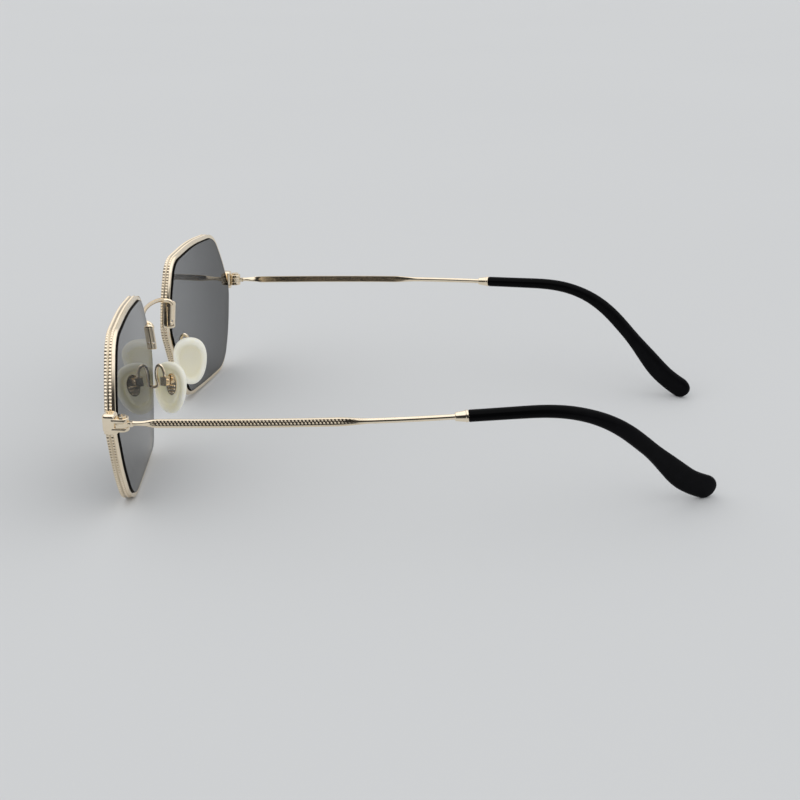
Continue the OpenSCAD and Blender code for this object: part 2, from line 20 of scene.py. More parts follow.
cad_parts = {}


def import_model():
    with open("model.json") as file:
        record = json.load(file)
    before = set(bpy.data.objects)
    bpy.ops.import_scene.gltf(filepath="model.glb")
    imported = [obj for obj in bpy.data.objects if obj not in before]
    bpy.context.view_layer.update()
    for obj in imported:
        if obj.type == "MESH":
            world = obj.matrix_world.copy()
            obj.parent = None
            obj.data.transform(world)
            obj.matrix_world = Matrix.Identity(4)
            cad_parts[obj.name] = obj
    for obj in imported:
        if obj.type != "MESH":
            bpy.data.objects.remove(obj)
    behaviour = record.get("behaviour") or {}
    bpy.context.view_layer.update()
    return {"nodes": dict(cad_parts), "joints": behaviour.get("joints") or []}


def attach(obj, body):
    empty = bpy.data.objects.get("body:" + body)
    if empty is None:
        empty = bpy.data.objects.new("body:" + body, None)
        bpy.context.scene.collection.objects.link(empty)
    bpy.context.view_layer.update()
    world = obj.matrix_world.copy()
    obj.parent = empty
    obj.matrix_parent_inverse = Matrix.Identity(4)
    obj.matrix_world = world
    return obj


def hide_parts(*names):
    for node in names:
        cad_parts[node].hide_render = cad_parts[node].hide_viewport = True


logging.basicConfig(level=logging.INFO, format="%(message)s")

LOG = logging.getLogger("sunglasses")
MM = 0.001
Array = np.ndarray
Colour = tuple[float, float, float]
X, Y, Z = range(3)
SEARCH = 4001  # how many places of an outline are tried


class Side(Enum):
    """The two halves of the object; the value is the sign of their X."""

    LEFT = 1
    RIGHT = -1

    @property
    def word(self) -> str:
        """The side's name as it stands at the end of a node's name."""
        return self.name.lower()


class Slot(Enum):
    """The record's material slots."""

    GOLD = "gold_metal"
    SMOKE = "smoke_lens"
    MILKY = "milky_pad"
    ACETATE = "black_acetate"


# Numbers and turns


def ramp(s: Array | float, low: float, high: float) -> Array:
    """Smooth step: 0 below low, 1 above high, and 3t^2 - 2t^3 of the share t between them."""
    t = np.clip((np.asarray(s, float) - low) / (high - low), 0, 1)
    return t * t * (3 - 2 * t)


def unit(v: Array) -> Array:
    """The vectors with length 1."""
    return v / np.linalg.norm(v, axis=-1, keepdims=True)


def vec(*parts: Array | float) -> Array:
    """Joins the parts as the last axis, spread to one shape."""
    return np.stack(np.broadcast_arrays(*[np.asarray(p, float) for p in parts]), -1)


def turn(p: Array, axis: int, degrees: float | Array) -> Array:
    """The points turned round the axis X, Y or Z."""
    a, i, j = np.radians(degrees), (axis + 1) % 3, (axis + 2) % 3
    parts = [p[..., k] for k in range(3)]
    parts[i] = p[..., i] * np.cos(a) - p[..., j] * np.sin(a)
    parts[j] = p[..., i] * np.sin(a) + p[..., j] * np.cos(a)
    return vec(*parts)


def circle(count: int) -> Array:
    """Even angles round a circle."""
    return np.arange(count) * 2 * np.pi / count


def spokes(angle: Array) -> Array:
    """Unit vectors at the angles."""
    return vec(np.cos(angle), np.sin(angle))


def squared(k: Array, power: Array | float) -> tuple[Array, Array]:
    """Cosine and sine of the angles, their size raised to a power that squares the circle."""
    return tuple(np.sign(v) * np.abs(v) ** power for v in (np.cos(k), np.sin(k)))


def lengths(path: Array) -> Array:
    """Length walked along the path at each of its points."""
    return np.concatenate([[0], np.linalg.norm(np.diff(path, axis=0), axis=1).cumsum()])


def bezier(p: Array, steps: int) -> Array:
    """Points of the cubic curve with the four control points p."""
    t = np.linspace(0, 1, steps + 1)[:, None]
    u = 1 - t
    return p[0] * u**3 + 3 * p[1] * t * u * u + 3 * p[2] * t * t * u + p[3] * t**3


def smooth_line(knots: Array, count: int) -> Array:
    """A curve through the knots, of cubics whose end slopes are half the step between the neighbours.

    Args:
        knots: the points that the curve passes, one a row.
        count: how many points the curve gets.

    Returns:
        The points of the curve, one a row.
    """
    n = len(knots)
    s = np.linspace(0, n - 1, count)
    i = np.minimum(s.astype(int), n - 2)
    t = (s - i)[:, None]
    slope = np.gradient(knots, axis=0)
    a, b, da, db = knots[i], knots[i + 1], slope[i], slope[i + 1]
    return (a * (1 + 2 * t) + da * t) * (1 - t) ** 2 + (b * (3 - 2 * t) - db * (1 - t)) * t * t


# Meshes


@dataclass
class Shell:
    """A closed grid of points in millimetres: rows run along it, columns run round its section.

    The paint is the number of each row's finish. The recess is 0 to 1 at each point, 1 in the deepest
    grooves; on the gold it is the share of painted shade, the pads read it as their cream and the tips as
    their wear.
    """

    points: Array
    paint: Array | int = 0
    recess: Array | float = 0

    def faces(self) -> tuple[Array, list[list[int]]]:
        """The four-sided faces of the grid, and a cap at each end."""
        rows, cols = self.points.shape[:2]
        r, c = np.meshgrid(np.arange(rows - 1), np.arange(cols), indexing="ij")
        r2, c2 = r + 1, (c + 1) % cols
        quads = np.stack([r * cols + c, r * cols + c2, r2 * cols + c2, r2 * cols + c], -1).reshape(-1, 4)
        return quads, [list(range(cols))[::-1], list(range((rows - 1) * cols, rows * cols))]

    def volume(self) -> float:
        """Signed volume: the sum over the faces, caps fanned, of the corners' triple products."""
        p = self.points.reshape(-1, 3) - self.points.reshape(-1, 3).mean(0)
        quads, caps = self.faces()
        fans = [quads[:, [0, 1, 2]], quads[:, [0, 2, 3]]]
        fans += [np.array([[c[0], a, b] for a, b in zip(c[1:-1], c[2:])]) for c in caps]
        a, b, c = (p[np.concatenate(fans)[:, k]] for k in range(3))
        return float((a * np.cross(b, c)).sum()) / 6


def linked(name: str, data: bpy.types.ID) -> bpy.types.Object:
    """A new object with that data, linked into the scene."""
    made = bpy.data.objects.new(name, data)
    bpy.context.scene.collection.objects.link(made)
    return made


def shade(mesh: bpy.types.Mesh, sharp: float) -> None:
    """Smooths the mesh, except at edges past the angle in degrees."""
    mesh.polygons.foreach_set("use_smooth", np.ones(len(mesh.polygons), bool))
    mesh.set_sharp_from_angle(angle=math.radians(sharp))


def build(name: str, shells: list[Shell], side: Side = Side.LEFT, sharp: float = 40) -> bpy.types.Object:
    """Makes one mesh object of closed shells, mirrored for the right side, its faces outward.

    Args:
        name: the object's name.
        shells: the shells, in millimetres, on the left side.
        side: the half that the object belongs to.
        sharp: the angle in degrees past which an edge between faces stays sharp.

    Returns:
        The object, at the origin, with its place in its mesh.
    """
    points, faces, slots, recess, base = [], [], [], [], 0
    for shell in shells:
        rows, cols = shell.points.shape[:2]
        quads, caps = shell.faces()
        if (shell.volume() < 0) != (side is Side.RIGHT):
            quads, caps = quads[:, ::-1], [c[::-1] for c in caps]
        faces += (quads + base).tolist() + [[base + k for k in c] for c in caps]
        paint = np.broadcast_to(shell.paint, rows)
        slots += np.repeat(paint[:-1], cols).tolist() + [int(paint[-1])] * 2
        recess.append(np.broadcast_to(shell.recess, (rows, cols)).ravel())
        points.append(shell.points.reshape(-1, 3))
        base += rows * cols
    place = np.concatenate(points) * [side.value, 1, 1] * MM
    mesh = bpy.data.meshes.new(name)
    mesh.from_pydata(place.tolist(), [], faces)
    mesh.polygons.foreach_set("material_index", np.array(slots, np.int32))
    mesh.attributes.new("recess", "FLOAT", "POINT").data.foreach_set(
        "value", np.concatenate(recess).astype(np.float32))
    shade(mesh, sharp)
    mesh.update()
    return linked(name, mesh)


def rod(path: Array, radius: float, cuts: int, axis: tuple[float, float, float], ends: float = 0) -> Shell:
    """A round rod along a path: each ring is path + radius * (a * cos(k) + b * sin(k)), square to the path.

    Args:
        path: the points of the path.
        radius: radius of the rod.
        cuts: points in each ring.
        axis: a direction that the path never takes; a is square to it.
        ends: length of the ends, which close on a quarter circle; 0 leaves them flat.

    Returns:
        The rod.
    """
    s, least = lengths(path), 0.02
    near = np.clip(np.minimum(s, s[-1] - s) / ends, 0, 1) if ends else np.ones(len(s))
    size = (radius * np.sqrt(np.clip(1 - (1 - near) ** 2, least, 1)))[:, None, None]
    along = unit(np.gradient(path, axis=0))
    a = unit(np.cross(along, axis))
    b = np.cross(a, along)
    k = circle(cuts)[:, None]
    return Shell(path[:, None] + a[:, None] * size * np.cos(k) + b[:, None] * size * np.sin(k))


@dataclass
class Cut:
    """A plane that trims a copy, and a point whose part of it is kept. In millimetres."""

    at: Array
    out: Array
    keep: Array

    def trim(self, work: bmesh.types.BMesh) -> None:
        """Drops what lies past the plane, closes the cut, and drops the parts away from the kept point."""
        geometry, on_plane = work.verts[:] + work.edges[:] + work.faces[:], 1e-7
        bmesh.ops.bisect_plane(work, geom=geometry, dist=on_plane, plane_co=self.at * MM, plane_no=self.out,
                               clear_outer=True)
        bmesh.ops.holes_fill(work, edges=[edge for edge in work.edges if edge.is_boundary], sides=0)
        joined = nearest = {min(work.verts, key=lambda v: (v.co - Vector(self.keep * MM)).length)}
        while nearest:
            nearest = {edge.other_vert(v) for v in nearest for edge in v.link_edges} - joined
            joined = joined | nearest
        bmesh.ops.delete(work, geom=[v for v in work.verts if v not in joined], context="VERTS")


def softened(name: str, node: bpy.types.Object, width: float, cut: Cut | None = None) -> bpy.types.Object:
    """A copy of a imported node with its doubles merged, its flat parts joined and its edges broken.

    Args:
        name: the copy's name.
        node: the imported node.
        width: width of the broken edge in millimetres.
        cut: where the copy ends, if it isn't whole.

    Returns:
        The copy, with a live bevel.
    """
    doubles, flat, sharp = 2e-6, math.radians(1), 35
    mesh = node.data.copy()
    mesh.name = name
    work = bmesh.new()
    work.from_mesh(mesh)
    bmesh.ops.remove_doubles(work, verts=work.verts, dist=doubles)
    bmesh.ops.dissolve_limit(work, angle_limit=flat, verts=work.verts, edges=work.edges)
    if cut is not None:
        cut.trim(work)
    work.to_mesh(mesh)
    work.free()
    mesh.materials.clear()
    shade(mesh, sharp)
    piece = linked(name, mesh)
    edge = piece.modifiers.new("broken_edge", "BEVEL")
    edge.width = width * MM
    edge.segments = 2
    edge.limit_method = "ANGLE"
    edge.angle_limit = math.radians(sharp)
    edge.use_clamp_overlap = True
    edge.harden_normals = False
    return piece


def carve(piece: bpy.types.Object, cutter: bpy.types.Object) -> None:
    """Takes the cutter out of the piece for good, and removes the cutter."""
    cut = piece.modifiers.new("hole", "BOOLEAN")
    cut.operation, cut.object, cut.solver = "DIFFERENCE", cutter, "EXACT"
    seen = piece.evaluated_get(bpy.context.evaluated_depsgraph_get())
    piece.data = bpy.data.meshes.new_from_object(seen)
    piece.modifiers.clear()
    bpy.data.objects.remove(cutter)


# Node trees


@dataclass
class Value:
    """A number socket in a shader, with the sums of Python: each one adds a Math node."""

    graph: "Graph"
    socket: bpy.types.NodeSocket

    def _sum(self, operation: str, a: "Value | float", b: "Value | float") -> "Value":
        """A Math node on two values."""
        return self.graph.node("ShaderNodeMath", {"operation": operation}, {0: a, 1: b}).out(0)

    def __add__(self, other: "Value | float") -> "Value":
        """Sum."""
        return self._sum("ADD", self, other)

    def __sub__(self, other: "Value | float") -> "Value":
        """Difference."""
        return self._sum("SUBTRACT", self, other)

    def __rsub__(self, other: "Value | float") -> "Value":
        """Difference, the other way round."""
        return self._sum("SUBTRACT", other, self)

    def __mul__(self, other: "Value | float") -> "Value":
        """Product."""
        return self._sum("MULTIPLY", self, other)

    def __truediv__(self, other: "Value | float") -> "Value":
        """Quotient."""
        return self._sum("DIVIDE", self, other)

    def __pow__(self, other: "Value | float") -> "Value":
        """Power."""
        return self._sum("POWER", self, other)

    __radd__ = __add__
    __rmul__ = __mul__


@dataclass
class Made:
    """A node that a graph has made."""

    graph: "Graph"
    node: bpy.types.Node

    def out(self, key: str | int) -> Value:
        """One of the node's outputs."""
        return Value(self.graph, self.node.outputs[key])


class Graph:
    """The node tree of a material or of the world."""

    def __init__(self, owner: bpy.types.ID) -> None:
        """Empties the owner's tree."""
        kind = "World" if isinstance(owner, bpy.types.World) else "Material"
        self.output = f"ShaderNodeOutput{kind}"
        owner.use_nodes = True
        self.tree = owner.node_tree
        self.tree.nodes.clear()

    def node(self, kind: str, settings: dict | None = None, inputs: dict | None = None) -> Made:
        """Makes a node.

        Args:
            kind: the node's type.
            settings: its properties.
            inputs: a value or a link for each input, by name or by number.

        Returns:
            The node.
        """
        node = self.tree.nodes.new(kind)
        for key, value in (settings or {}).items():
            setattr(node, key, value)
        for key, value in (inputs or {}).items():
            socket = node.inputs[key]
            if isinstance(value, Value):
                self.tree.links.new(value.socket, socket)
            else:
                socket.default_value = (*value, 1) if socket.type == "RGBA" else value
        return Made(self, node)

    def where(self, kind: str = "Object") -> Value:
        """The texture coordinates of one kind."""
        return self.node("ShaderNodeTexCoord").out(kind)

    def split(self, where: Value) -> list[Value]:
        """The three coordinates of a place or a direction."""
        made = self.node("ShaderNodeSeparateXYZ", {}, {"Vector": where})
        return [made.out(axis) for axis in "XYZ"]

    def mark(self, name: str) -> Value:
        """A number that the mesh carries at its points."""
        return self.node("ShaderNodeAttribute", {"attribute_name": name}).out("Fac")

    def noise(self, where: Value, size: float, detail: float = 2) -> Value:
        """Soft noise whose spots are about size millimetres wide, from 0 to 1."""
        scale = {"Vector": where, "Scale": 1 / (size * MM), "Detail": detail}
        return self.node("ShaderNodeTexNoise", {}, scale).out("Fac")

    def spread(self, value: Value, low: float, high: float, to_low: float = 0, to_high: float = 1) -> Value:
        """The value carried smoothly from one range to another."""
        ranges = {"Value": value, "From Min": low, "From Max": high, "To Min": to_low, "To Max": to_high}
        return self.node("ShaderNodeMapRange", {"interpolation_type": "SMOOTHSTEP"}, ranges).out("Result")

    def mix(self, share: Value | float, a: Value | Colour, b: Value | Colour) -> Value:
        """A colour between a and b."""
        return self.node("ShaderNodeMix", {"data_type": "RGBA"}, {0: share, 6: a, 7: b}).out(2)

    def bump(self, height: Value, depth: float, strength: float) -> Value:
        """The normal of a surface with that height, where 1 is depth millimetres."""
        sockets = {"Height": height, "Distance": depth * MM, "Strength": strength}
        return self.node("ShaderNodeBump", {}, sockets).out("Normal")

    def coat(self, inputs: dict, settings: dict | None = None) -> Value:
        """The main shader with those inputs."""
        return self.node("ShaderNodeBsdfPrincipled", settings, inputs).out("BSDF")

    def surface(self, shader: Value) -> None:
        """Sends the shader to the output."""
        self.node(self.output, {}, {"Surface": shader})


@dataclass(frozen=True)
class Finish:
    """A finish: a material that is made once and shared."""

    name: str

    def dress(self, graph: Graph) -> Value:
        """The finish's shader."""
        raise NotImplementedError

    def material(self) -> bpy.types.Material:
        """The finish's material, made on first use."""
        found = bpy.data.materials.get(self.name)
        if found is None:
            found = bpy.data.materials.new(self.name)
            graph = Graph(found)
            graph.surface(self.dress(graph))
        return found


@dataclass(frozen=True)
class Gold(Finish):
    """Pale polished gold: warm and cool clouds, faint rubbing marks, and painted shade in the grooves."""

    name: str = "polished_gold"
    colour: Colour = (0.94, 0.82, 0.64)
    warm: Colour = (0.90, 0.76, 0.56)
    groove_shade: Colour = (0.20, 0.14, 0.08)
    rough: float = 0.11
    rub: float = 0.09
    warm_share: float = 0.55
    groove_shade_share: float = 0.45
    cloud_size: float = 6
    rub_size: float = 0.5
    grain_size: float = 0.18

    def dress(self, graph: Graph) -> Value:
        """Metal whose colour and roughness follow its clouds, its rubbing marks and the recess mark, which
        paints shade into the grooves and between the beads.
        """
        where = graph.where()
        cloud = graph.spread(graph.noise(where, self.cloud_size, 3), 0.35, 0.65)
        rub = graph.spread(graph.noise(where, self.rub_size, 4), 0.45, 0.75)
        recess = graph.mark("recess")
        tone = graph.mix(cloud * self.warm_share, self.colour, self.warm)
        return graph.coat({
            # painted shade: the recess mark darkens the colour towards the dark brown shade of the grooves
            "Base Color": graph.mix(recess * self.groove_shade_share, tone, self.groove_shade),
            "Metallic": 1.0,
            "Roughness": rub * self.rub + cloud * 0.03 + self.rough + recess * 0.05,
            "Normal": graph.bump(graph.noise(where, self.grain_size), 0.004, 0.35),
        })


@dataclass(frozen=True)
class Smoke(Finish):
    """Dark smoke glass: a little light passes it, and the polished face mirrors its surroundings."""

    name: str = "smoke_glass"
    colour: Colour = (0.165, 0.17, 0.175)
    outer: Colour = (0.018, 0.019, 0.021)
    darker_span: tuple[float, float] = (12, 60)
    waver: float = 3

    def dress(self, graph: Graph) -> Value:
        """Tinted glass, darker towards the temples; tint and polish waver a little over the face."""
        where = graph.where()
        smear = graph.spread(graph.noise(where, 3, 3), 0.55, 0.8)
        x = graph.split(where)[X]
        low, high = self.darker_span
        place = (x * x) ** 0.5 + graph.noise(where, 14) * (self.waver * MM)
        return graph.coat({
            # the colour grows darker from the middle line towards the temples
            "Base Color": graph.mix(graph.spread(place, low * MM, high * MM), self.colour, self.outer),
            "Roughness": smear * 0.02 + 0.005,
            "IOR": 1.56,
            "Transmission Weight": 1.0,
        })


@dataclass(frozen=True)
class ShadedGroundEdge(Finish):
    """The lens's ground edge: silky, with fine marks left by the wheel, and painted near-black as the shade
    in the gap between lens and rim.
    """

    name: str = "shaded_ground_edge"
    colour: Colour = (0.003, 0.003, 0.003)
    worn: Colour = (0.009, 0.008, 0.008)

    def dress(self, graph: Graph) -> Value:
        """Near-black painted shade, with fine grinding noise."""
        grind = graph.noise(graph.where(), 0.25, 3)
        return graph.coat({
            # painted shade: the edge's near-black colour stands in for the shade between lens and rim
            "Base Color": graph.mix(grind, self.colour, self.worn),
            "Roughness": grind * 0.15 + 0.45,
            "Specular IOR Level": 0.05,
            "Normal": graph.bump(grind, 0.01, 0.4),
        })


@dataclass(frozen=True)
class Milky(Finish):
    """Milky soft plastic that light enters, creamier in the dish and over the middle of the back."""

    name: str = "milky_plastic"
    colour: Colour = (0.90, 0.88, 0.77)
    cream: Colour = (0.88, 0.83, 0.67)
    scatter: float = 3

    def dress(self, graph: Graph) -> Value:
        """A soft body with light inside it, cream clouds, and a faint skin of fine grain."""
        where = graph.where()
        cloud = graph.spread(graph.noise(where, 4), 0.35, 0.7)
        grain = graph.noise(where, 0.3, 3)
        tone = graph.mix(cloud * 0.6, self.colour, self.cream)
        return graph.coat({
            # the recess mark makes the dish on the nose side and the middle of the back creamier
            "Base Color": graph.mix(graph.mark("recess"), tone, self.cream),
            "Roughness": grain * 0.12 + 0.26,
            "IOR": 1.42,
            "Subsurface Weight": 0.85,
            "Subsurface Radius": (1.0, 0.97, 0.8),
            "Subsurface Scale": self.scatter * MM,
            "Normal": graph.bump(grain, 0.02, 0.25),
        }, {"subsurface_method": "RANDOM_WALK"})


@dataclass(frozen=True)
class Acetate(Finish):
    """Black acetate, glossy where it starts and rubbed matt towards the paddle."""

    name: str = "black_plastic"
    colour: Colour = (0.002, 0.002, 0.0023)
    worn: Colour = (0.005, 0.005, 0.006)

    def dress(self, graph: Graph) -> Value:
        """Black with a haze; the recess mark carries the share of wear along the tip."""
        where = graph.where()
        haze = graph.noise(where, 2.5, 3)
        fine = graph.noise(where, 0.35, 3)
        wear = graph.mark("recess")
        return graph.coat({
            "Base Color": graph.mix(haze * wear, self.colour, self.worn),
            "Roughness": wear * 0.22 + haze * 0.08 + fine * 0.05 + 0.10,
            "Specular IOR Level": 0.04,
            "Normal": graph.bump(fine, 0.012, 0.3),
        })


GOLD = Gold()
MILLED = Gold("milled_gold", rub=0.06)
SMOKE = Smoke()
SHADED_EDGE = ShadedGroundEdge()
MILKY = Milky()
ACETATE = Acetate()


def sided(name: str, side: Side) -> str:
    """The name as it is on one side; the front and the bridge are common to both."""
    return name if name in ("front", "bridge") else f"{name}_{side.word}"


@dataclass(frozen=True)
class Look:
    """A piece's name, node, body, slot and finishes, and the angle past which its edges stay sharp."""

    name: str
    node: str
    body: str = "front"
    slot: Slot = Slot.GOLD
    finishes: tuple[Finish, ...] = (GOLD,)
    sharp: float = 40

    def dress(self, piece: bpy.types.Object, side: Side) -> None:
        """Gives a finished piece its finishes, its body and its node."""
        for finish in self.finishes:
            piece.data.materials.append(finish.material())
        body = sided(self.body, side)
        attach(piece, body)
        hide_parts(sided(self.node, side))
        LOG.info("%s: %d faces on %s", piece.name, len(piece.data.polygons), body)


@dataclass
class Twin:
    """A piece that both halves have, built of shells."""

    look: ClassVar[Look]

    def shells(self) -> list[Shell]:
        """The shells of the left piece."""
        raise NotImplementedError

    def make(self, side: Side) -> bpy.types.Object:
        """Builds and dresses the piece of one side."""
        piece = build(sided(self.look.name, side), self.shells(), side, self.look.sharp)
        self.look.dress(piece, side)
        return piece


# Shapes that several pieces share


@dataclass
class LensForm:
    """Outline and place of the left lens, in millimetres, for a packed hinge place."""

    hinge_place: Array
    width: float = 52
    gap: float = 20.5
    corners: tuple[tuple[float, float], ...] = (
        (26, 1.2), (15.7, 20), (-18.3, 20.5), (-26, 3), (-15, -19.2), (16.4, -20.6))
    radii: tuple[float, ...] = (7.8, 9, 6.5, 7.8, 5, 10)
    bows: tuple[float, ...] = (1, 1.4, 1, 1, 0.4, 1.6)
    corner_share: float = 0.55
    bow_share: float = 0.4
    arc_steps: int = 48
    wrap: float = 5.9
    tilt: float = 2
    rim_wall: float = 1.2
    rim_depth: float = 2.6
    hinge_up: float = 3.5
    hinge_back: float = 2.1

    def __post_init__(self) -> None:
        """Works out the outline's dense track, and the lens's place from that of the hinge."""
        self.track, self.angles = self._trace()
        low = self.loop(self.rim_wall)[0][:, 1].min()
        tilt = math.radians(self.tilt)
        self.centre = np.array([
            self.gap / 2 + self.width / 2 * math.cos(math.radians(self.wrap)), 0,
            -(low * math.cos(tilt) - self.rim_depth * math.sin(tilt))])
        self.centre[1] = self.hinge_place[1] - self.hinge_back - self.at(self.width / 2, 0, self.hinge_up)[1]

    def _trace(self) -> tuple[Array, Array]:
        """The closed outline: an arc at each corner and one at each bowed edge's middle, straight between.

        Returns:
            The points of the outline and the angles of its outward normals.
        """
        knots, points, angles = [], [], []
        places = np.array(self.corners)
        for corner, after, radius, bow in zip(places, np.roll(places, -1, 0), self.radii, self.bows):
            half, step = np.linalg.norm(after - corner) / 2, unit(after - corner)
            knots.append((corner, radius, self.corner_share * half))
            middle = (corner + after) / 2 + np.array([step[1], -step[0]]) * bow
            knots.append((middle, self.bow_share * half * half / bow, self.bow_share * half))
        for i, (p, radius, limit) in enumerate(knots):
            a, b = unit(p - knots[i - 1][0]), unit(knots[(i + 1) % len(knots)][0] - p)
            n1, n2 = np.array([a[1], -a[0]]), np.array([b[1], -b[0]])
            bend = math.acos(n1 @ n2)
            r = min(radius, limit / math.tan(bend / 2))
            angle = math.atan2(n1[1], n1[0]) + bend * np.linspace(0, 1, self.arc_steps + 1)
            points.append(p - (n1 + n2) / (1 + n1 @ n2) * r + r * spokes(angle))
            angles.append(angle)
        return np.concatenate(points), np.unwrap(np.concatenate(angles))

    def loop(self, offset: float) -> tuple[Array, Array]:
        """The closed outline, offset outward, and the length walked at each of its points."""
        points = self.track + offset * spokes(self.angles)
        closed = np.concatenate([points, points[:1]])
        return closed, lengths(closed)

    def walk(self, offset: float, shares: Array) -> tuple[Array, Array]:
        """Points and outward normals at even shares of the outline's length, offset outward.

        Args:
            offset: distance outward from the lens outline.
            shares: shares of the whole length, counted from the outline's first point.

        Returns:
            The points and the unit normals.
        """
        closed, s = self.loop(offset)
        angles = np.append(self.angles, self.angles[0] + 2 * np.pi)
        same = 1e-9
        keep = np.append(np.diff(s) > same, True)
        want = (shares % 1) * s[-1]
        u, v, angle = (np.interp(want, s[keep], column[keep]) for column in (*closed.T, angles))
        return vec(u, v), spokes(angle)

    def share_at(self, height: float) -> float:
        """The share of the outline's length at which its temple side passes a height."""
        near = 0.2
        shares = np.linspace(-near, near, SEARCH)
        points, _ = self.walk(self.rim_wall, shares)
        outer = points[:, 0] > 0
        return float(shares[outer][np.abs(points[outer, 1] - height).argmin()])

    def at(self, u: Array | float, back: Array | float, v: Array | float) -> Array:
        """Points given in the lens's own plane, placed in the frame."""
        return turn(turn(vec(u, back, v), X, self.tilt), Z, self.wrap) + self.centre

    def nose_edge(self, offset: float, height: float) -> float:
        """Distance of the offset outline from the lens's centre line on the nose side, at a height."""
        points, _ = self.loop(offset)
        inner = points[points[:, 0] < 0]
        order = inner[:, 1].argsort()
        return -float(np.interp(height, inner[order, 1], inner[order, 0]))


def dots(phase: Array, size: float = 1) -> Array:
    """Height of a row of dots on flat ground: 1 - t^2 of the place t on a dot, which covers size pitches."""
    t = (2 * (phase % 1) - 1) / size
    return np.clip(1 - t * t, 0, 1)


def crown(x: Array) -> Array:
    """Height across a bead, on an oval from 0 at its edges x = -1 and 1 to 1 in the middle."""
    return np.sqrt(np.clip(1 - x * x, 0, 1))


ACROSS = np.sin(np.linspace(-np.pi / 2, np.pi / 2, 9))


# Front


@dataclass
class Rim(Twin):
    """Rim wire with two rows of beads outside, a furrow between them, and a plain band at the back."""

    look = Look("milled_rim", "rim", finishes=(MILLED,))

    form: LensForm
    bead: float = 0.85
    cuts: int = 8
    row_w: float = 0.7
    furrow_w: float = 0.4
    bead_h: float = 0.22
    floor_d: float = 0.98
    band_d: float = 1.1
    cusp_shade: float = 0.9
    slit: float = 0.1
    slit_below_hinge: float = 1.55

    def section(self) -> tuple[Array, Array, Array, Array]:
        """The section's columns, from the inner front corner round the outside to the inner back corner.

        Returns:
            Depth, base distance outward, share of the bead height and share of painted shade of each column.
        """
        half, front, low, top = self.row_w / 2, -self.form.rim_depth, self.floor_d, self.band_d
        first, second = front + half, front + self.row_w + self.furrow_w + half
        end = second + half
        rows = [[front + 0.04, 0, 0, 0], [front, 0.05, 0, 0], [front, 0.5, 0, 0], [front, low - 0.04, 0, 0.1]]
        rows += [[first + x * half, low, crown(x), 0] for x in ACROSS]
        rows += [[first + half + self.furrow_w * k, low - 0.06, 0, 1] for k in (0.25, 0.5, 0.75)]
        rows += [[second + x * half, low, crown(x), 0] for x in ACROSS]
        rows += [[end + 0.04, low, 0, 0.8], [end + 0.08, top - 0.02, 0, 0.2], [end + 0.12, top, 0, 0],
                 [end + 0.17, top, 0, 0], [-0.18, top, 0, 0], [-0.12, top, 0, 0], [-0.035, top - 0.035, 0, 0],
                 [0, top - 0.12, 0, 0], [0, 0.06, 0, 0], [-0.05, 0, 0, 0]]
        return tuple(np.array(rows, float).T)

    def shells(self) -> list[Shell]:
        """The wire: each section column is carried round the outline, its beads counted by the length walked.

        Returns:
            One shell, from one face of the slit round to the other.
        """
        f = self.form
        length = f.loop(f.rim_wall)[1][-1]
        count = round(length / self.bead)
        gap = self.slit / 2 / length
        shares = np.linspace(gap, 1 - gap, count * self.cuts + 1)
        points, normals = f.walk(0, shares + f.share_at(f.hinge_up - self.slit_below_hinge))
        depth, base, share, groove_shade = self.section()
        height = dots(shares * count)[:, None] * share * self.bead_h
        flat = points[:, None] + normals[:, None] * (base + height)[..., None]
        # painted shade: the furrow, the edges of the back band and the low flanks of each bead get the dark
        # colour through the recess mark
        mark = groove_shade + np.where(share > 0, self.cusp_shade * (1 - height / self.bead_h) ** 3, 0)
        return [Shell(f.at(flat[..., 0], depth, flat[..., 1]), recess=np.clip(mark, 0, 1))]


@dataclass
class Lens(Twin):
    """Smoke lens, a little domed, with a ground edge, painted dark as shade, that stands a little behind the
    rim.
    """

    look = Look("smoke_lens", "lens", slot=Slot.SMOKE, finishes=(SMOKE, SHADED_EDGE), sharp=20)

    form: LensForm
    front: float = -1.8
    back: float = 0.4
    play: float = 0.06
    edge_break: float = 0.1
    dome: float = 1600
    hub: float = 0.01
    cuts: int = 480
    rings: int = 24

    def shells(self) -> list[Shell]:
        """A slab: rings from the middle of the front to the edge, over it, and back to the middle behind.

        Returns:
            One shell, whose edge has the second finish.
        """
        points, normals = self.form.walk(0, np.arange(self.cuts) / self.cuts)
        edge = points - normals * self.play
        inner = points - normals * (self.play + self.edge_break)
        share = np.linspace(self.hub, 1, self.rings)[:, None, None]
        flat = np.concatenate([share * inner, edge[None], edge[None], share[::-1] * inner])
        levels = [self.front, self.front + self.edge_break, self.back - self.edge_break, self.back]
        depth = np.repeat(levels, [self.rings, 1, 1, self.rings])[:, None] - self.sag(flat)
        paint = np.zeros(len(flat), int)
        paint[self.rings - 1:self.rings + 2] = 1
        return [Shell(self.form.at(flat[..., 0], depth, flat[..., 1]), paint=paint)]

    def sag(self, flat: Array) -> Array:
        """How far the dome stands forward of the outline's widest points."""
        return np.maximum((self.form.width**2 / 4 - (flat**2).sum(-1)) / (2 * self.dome), 0)


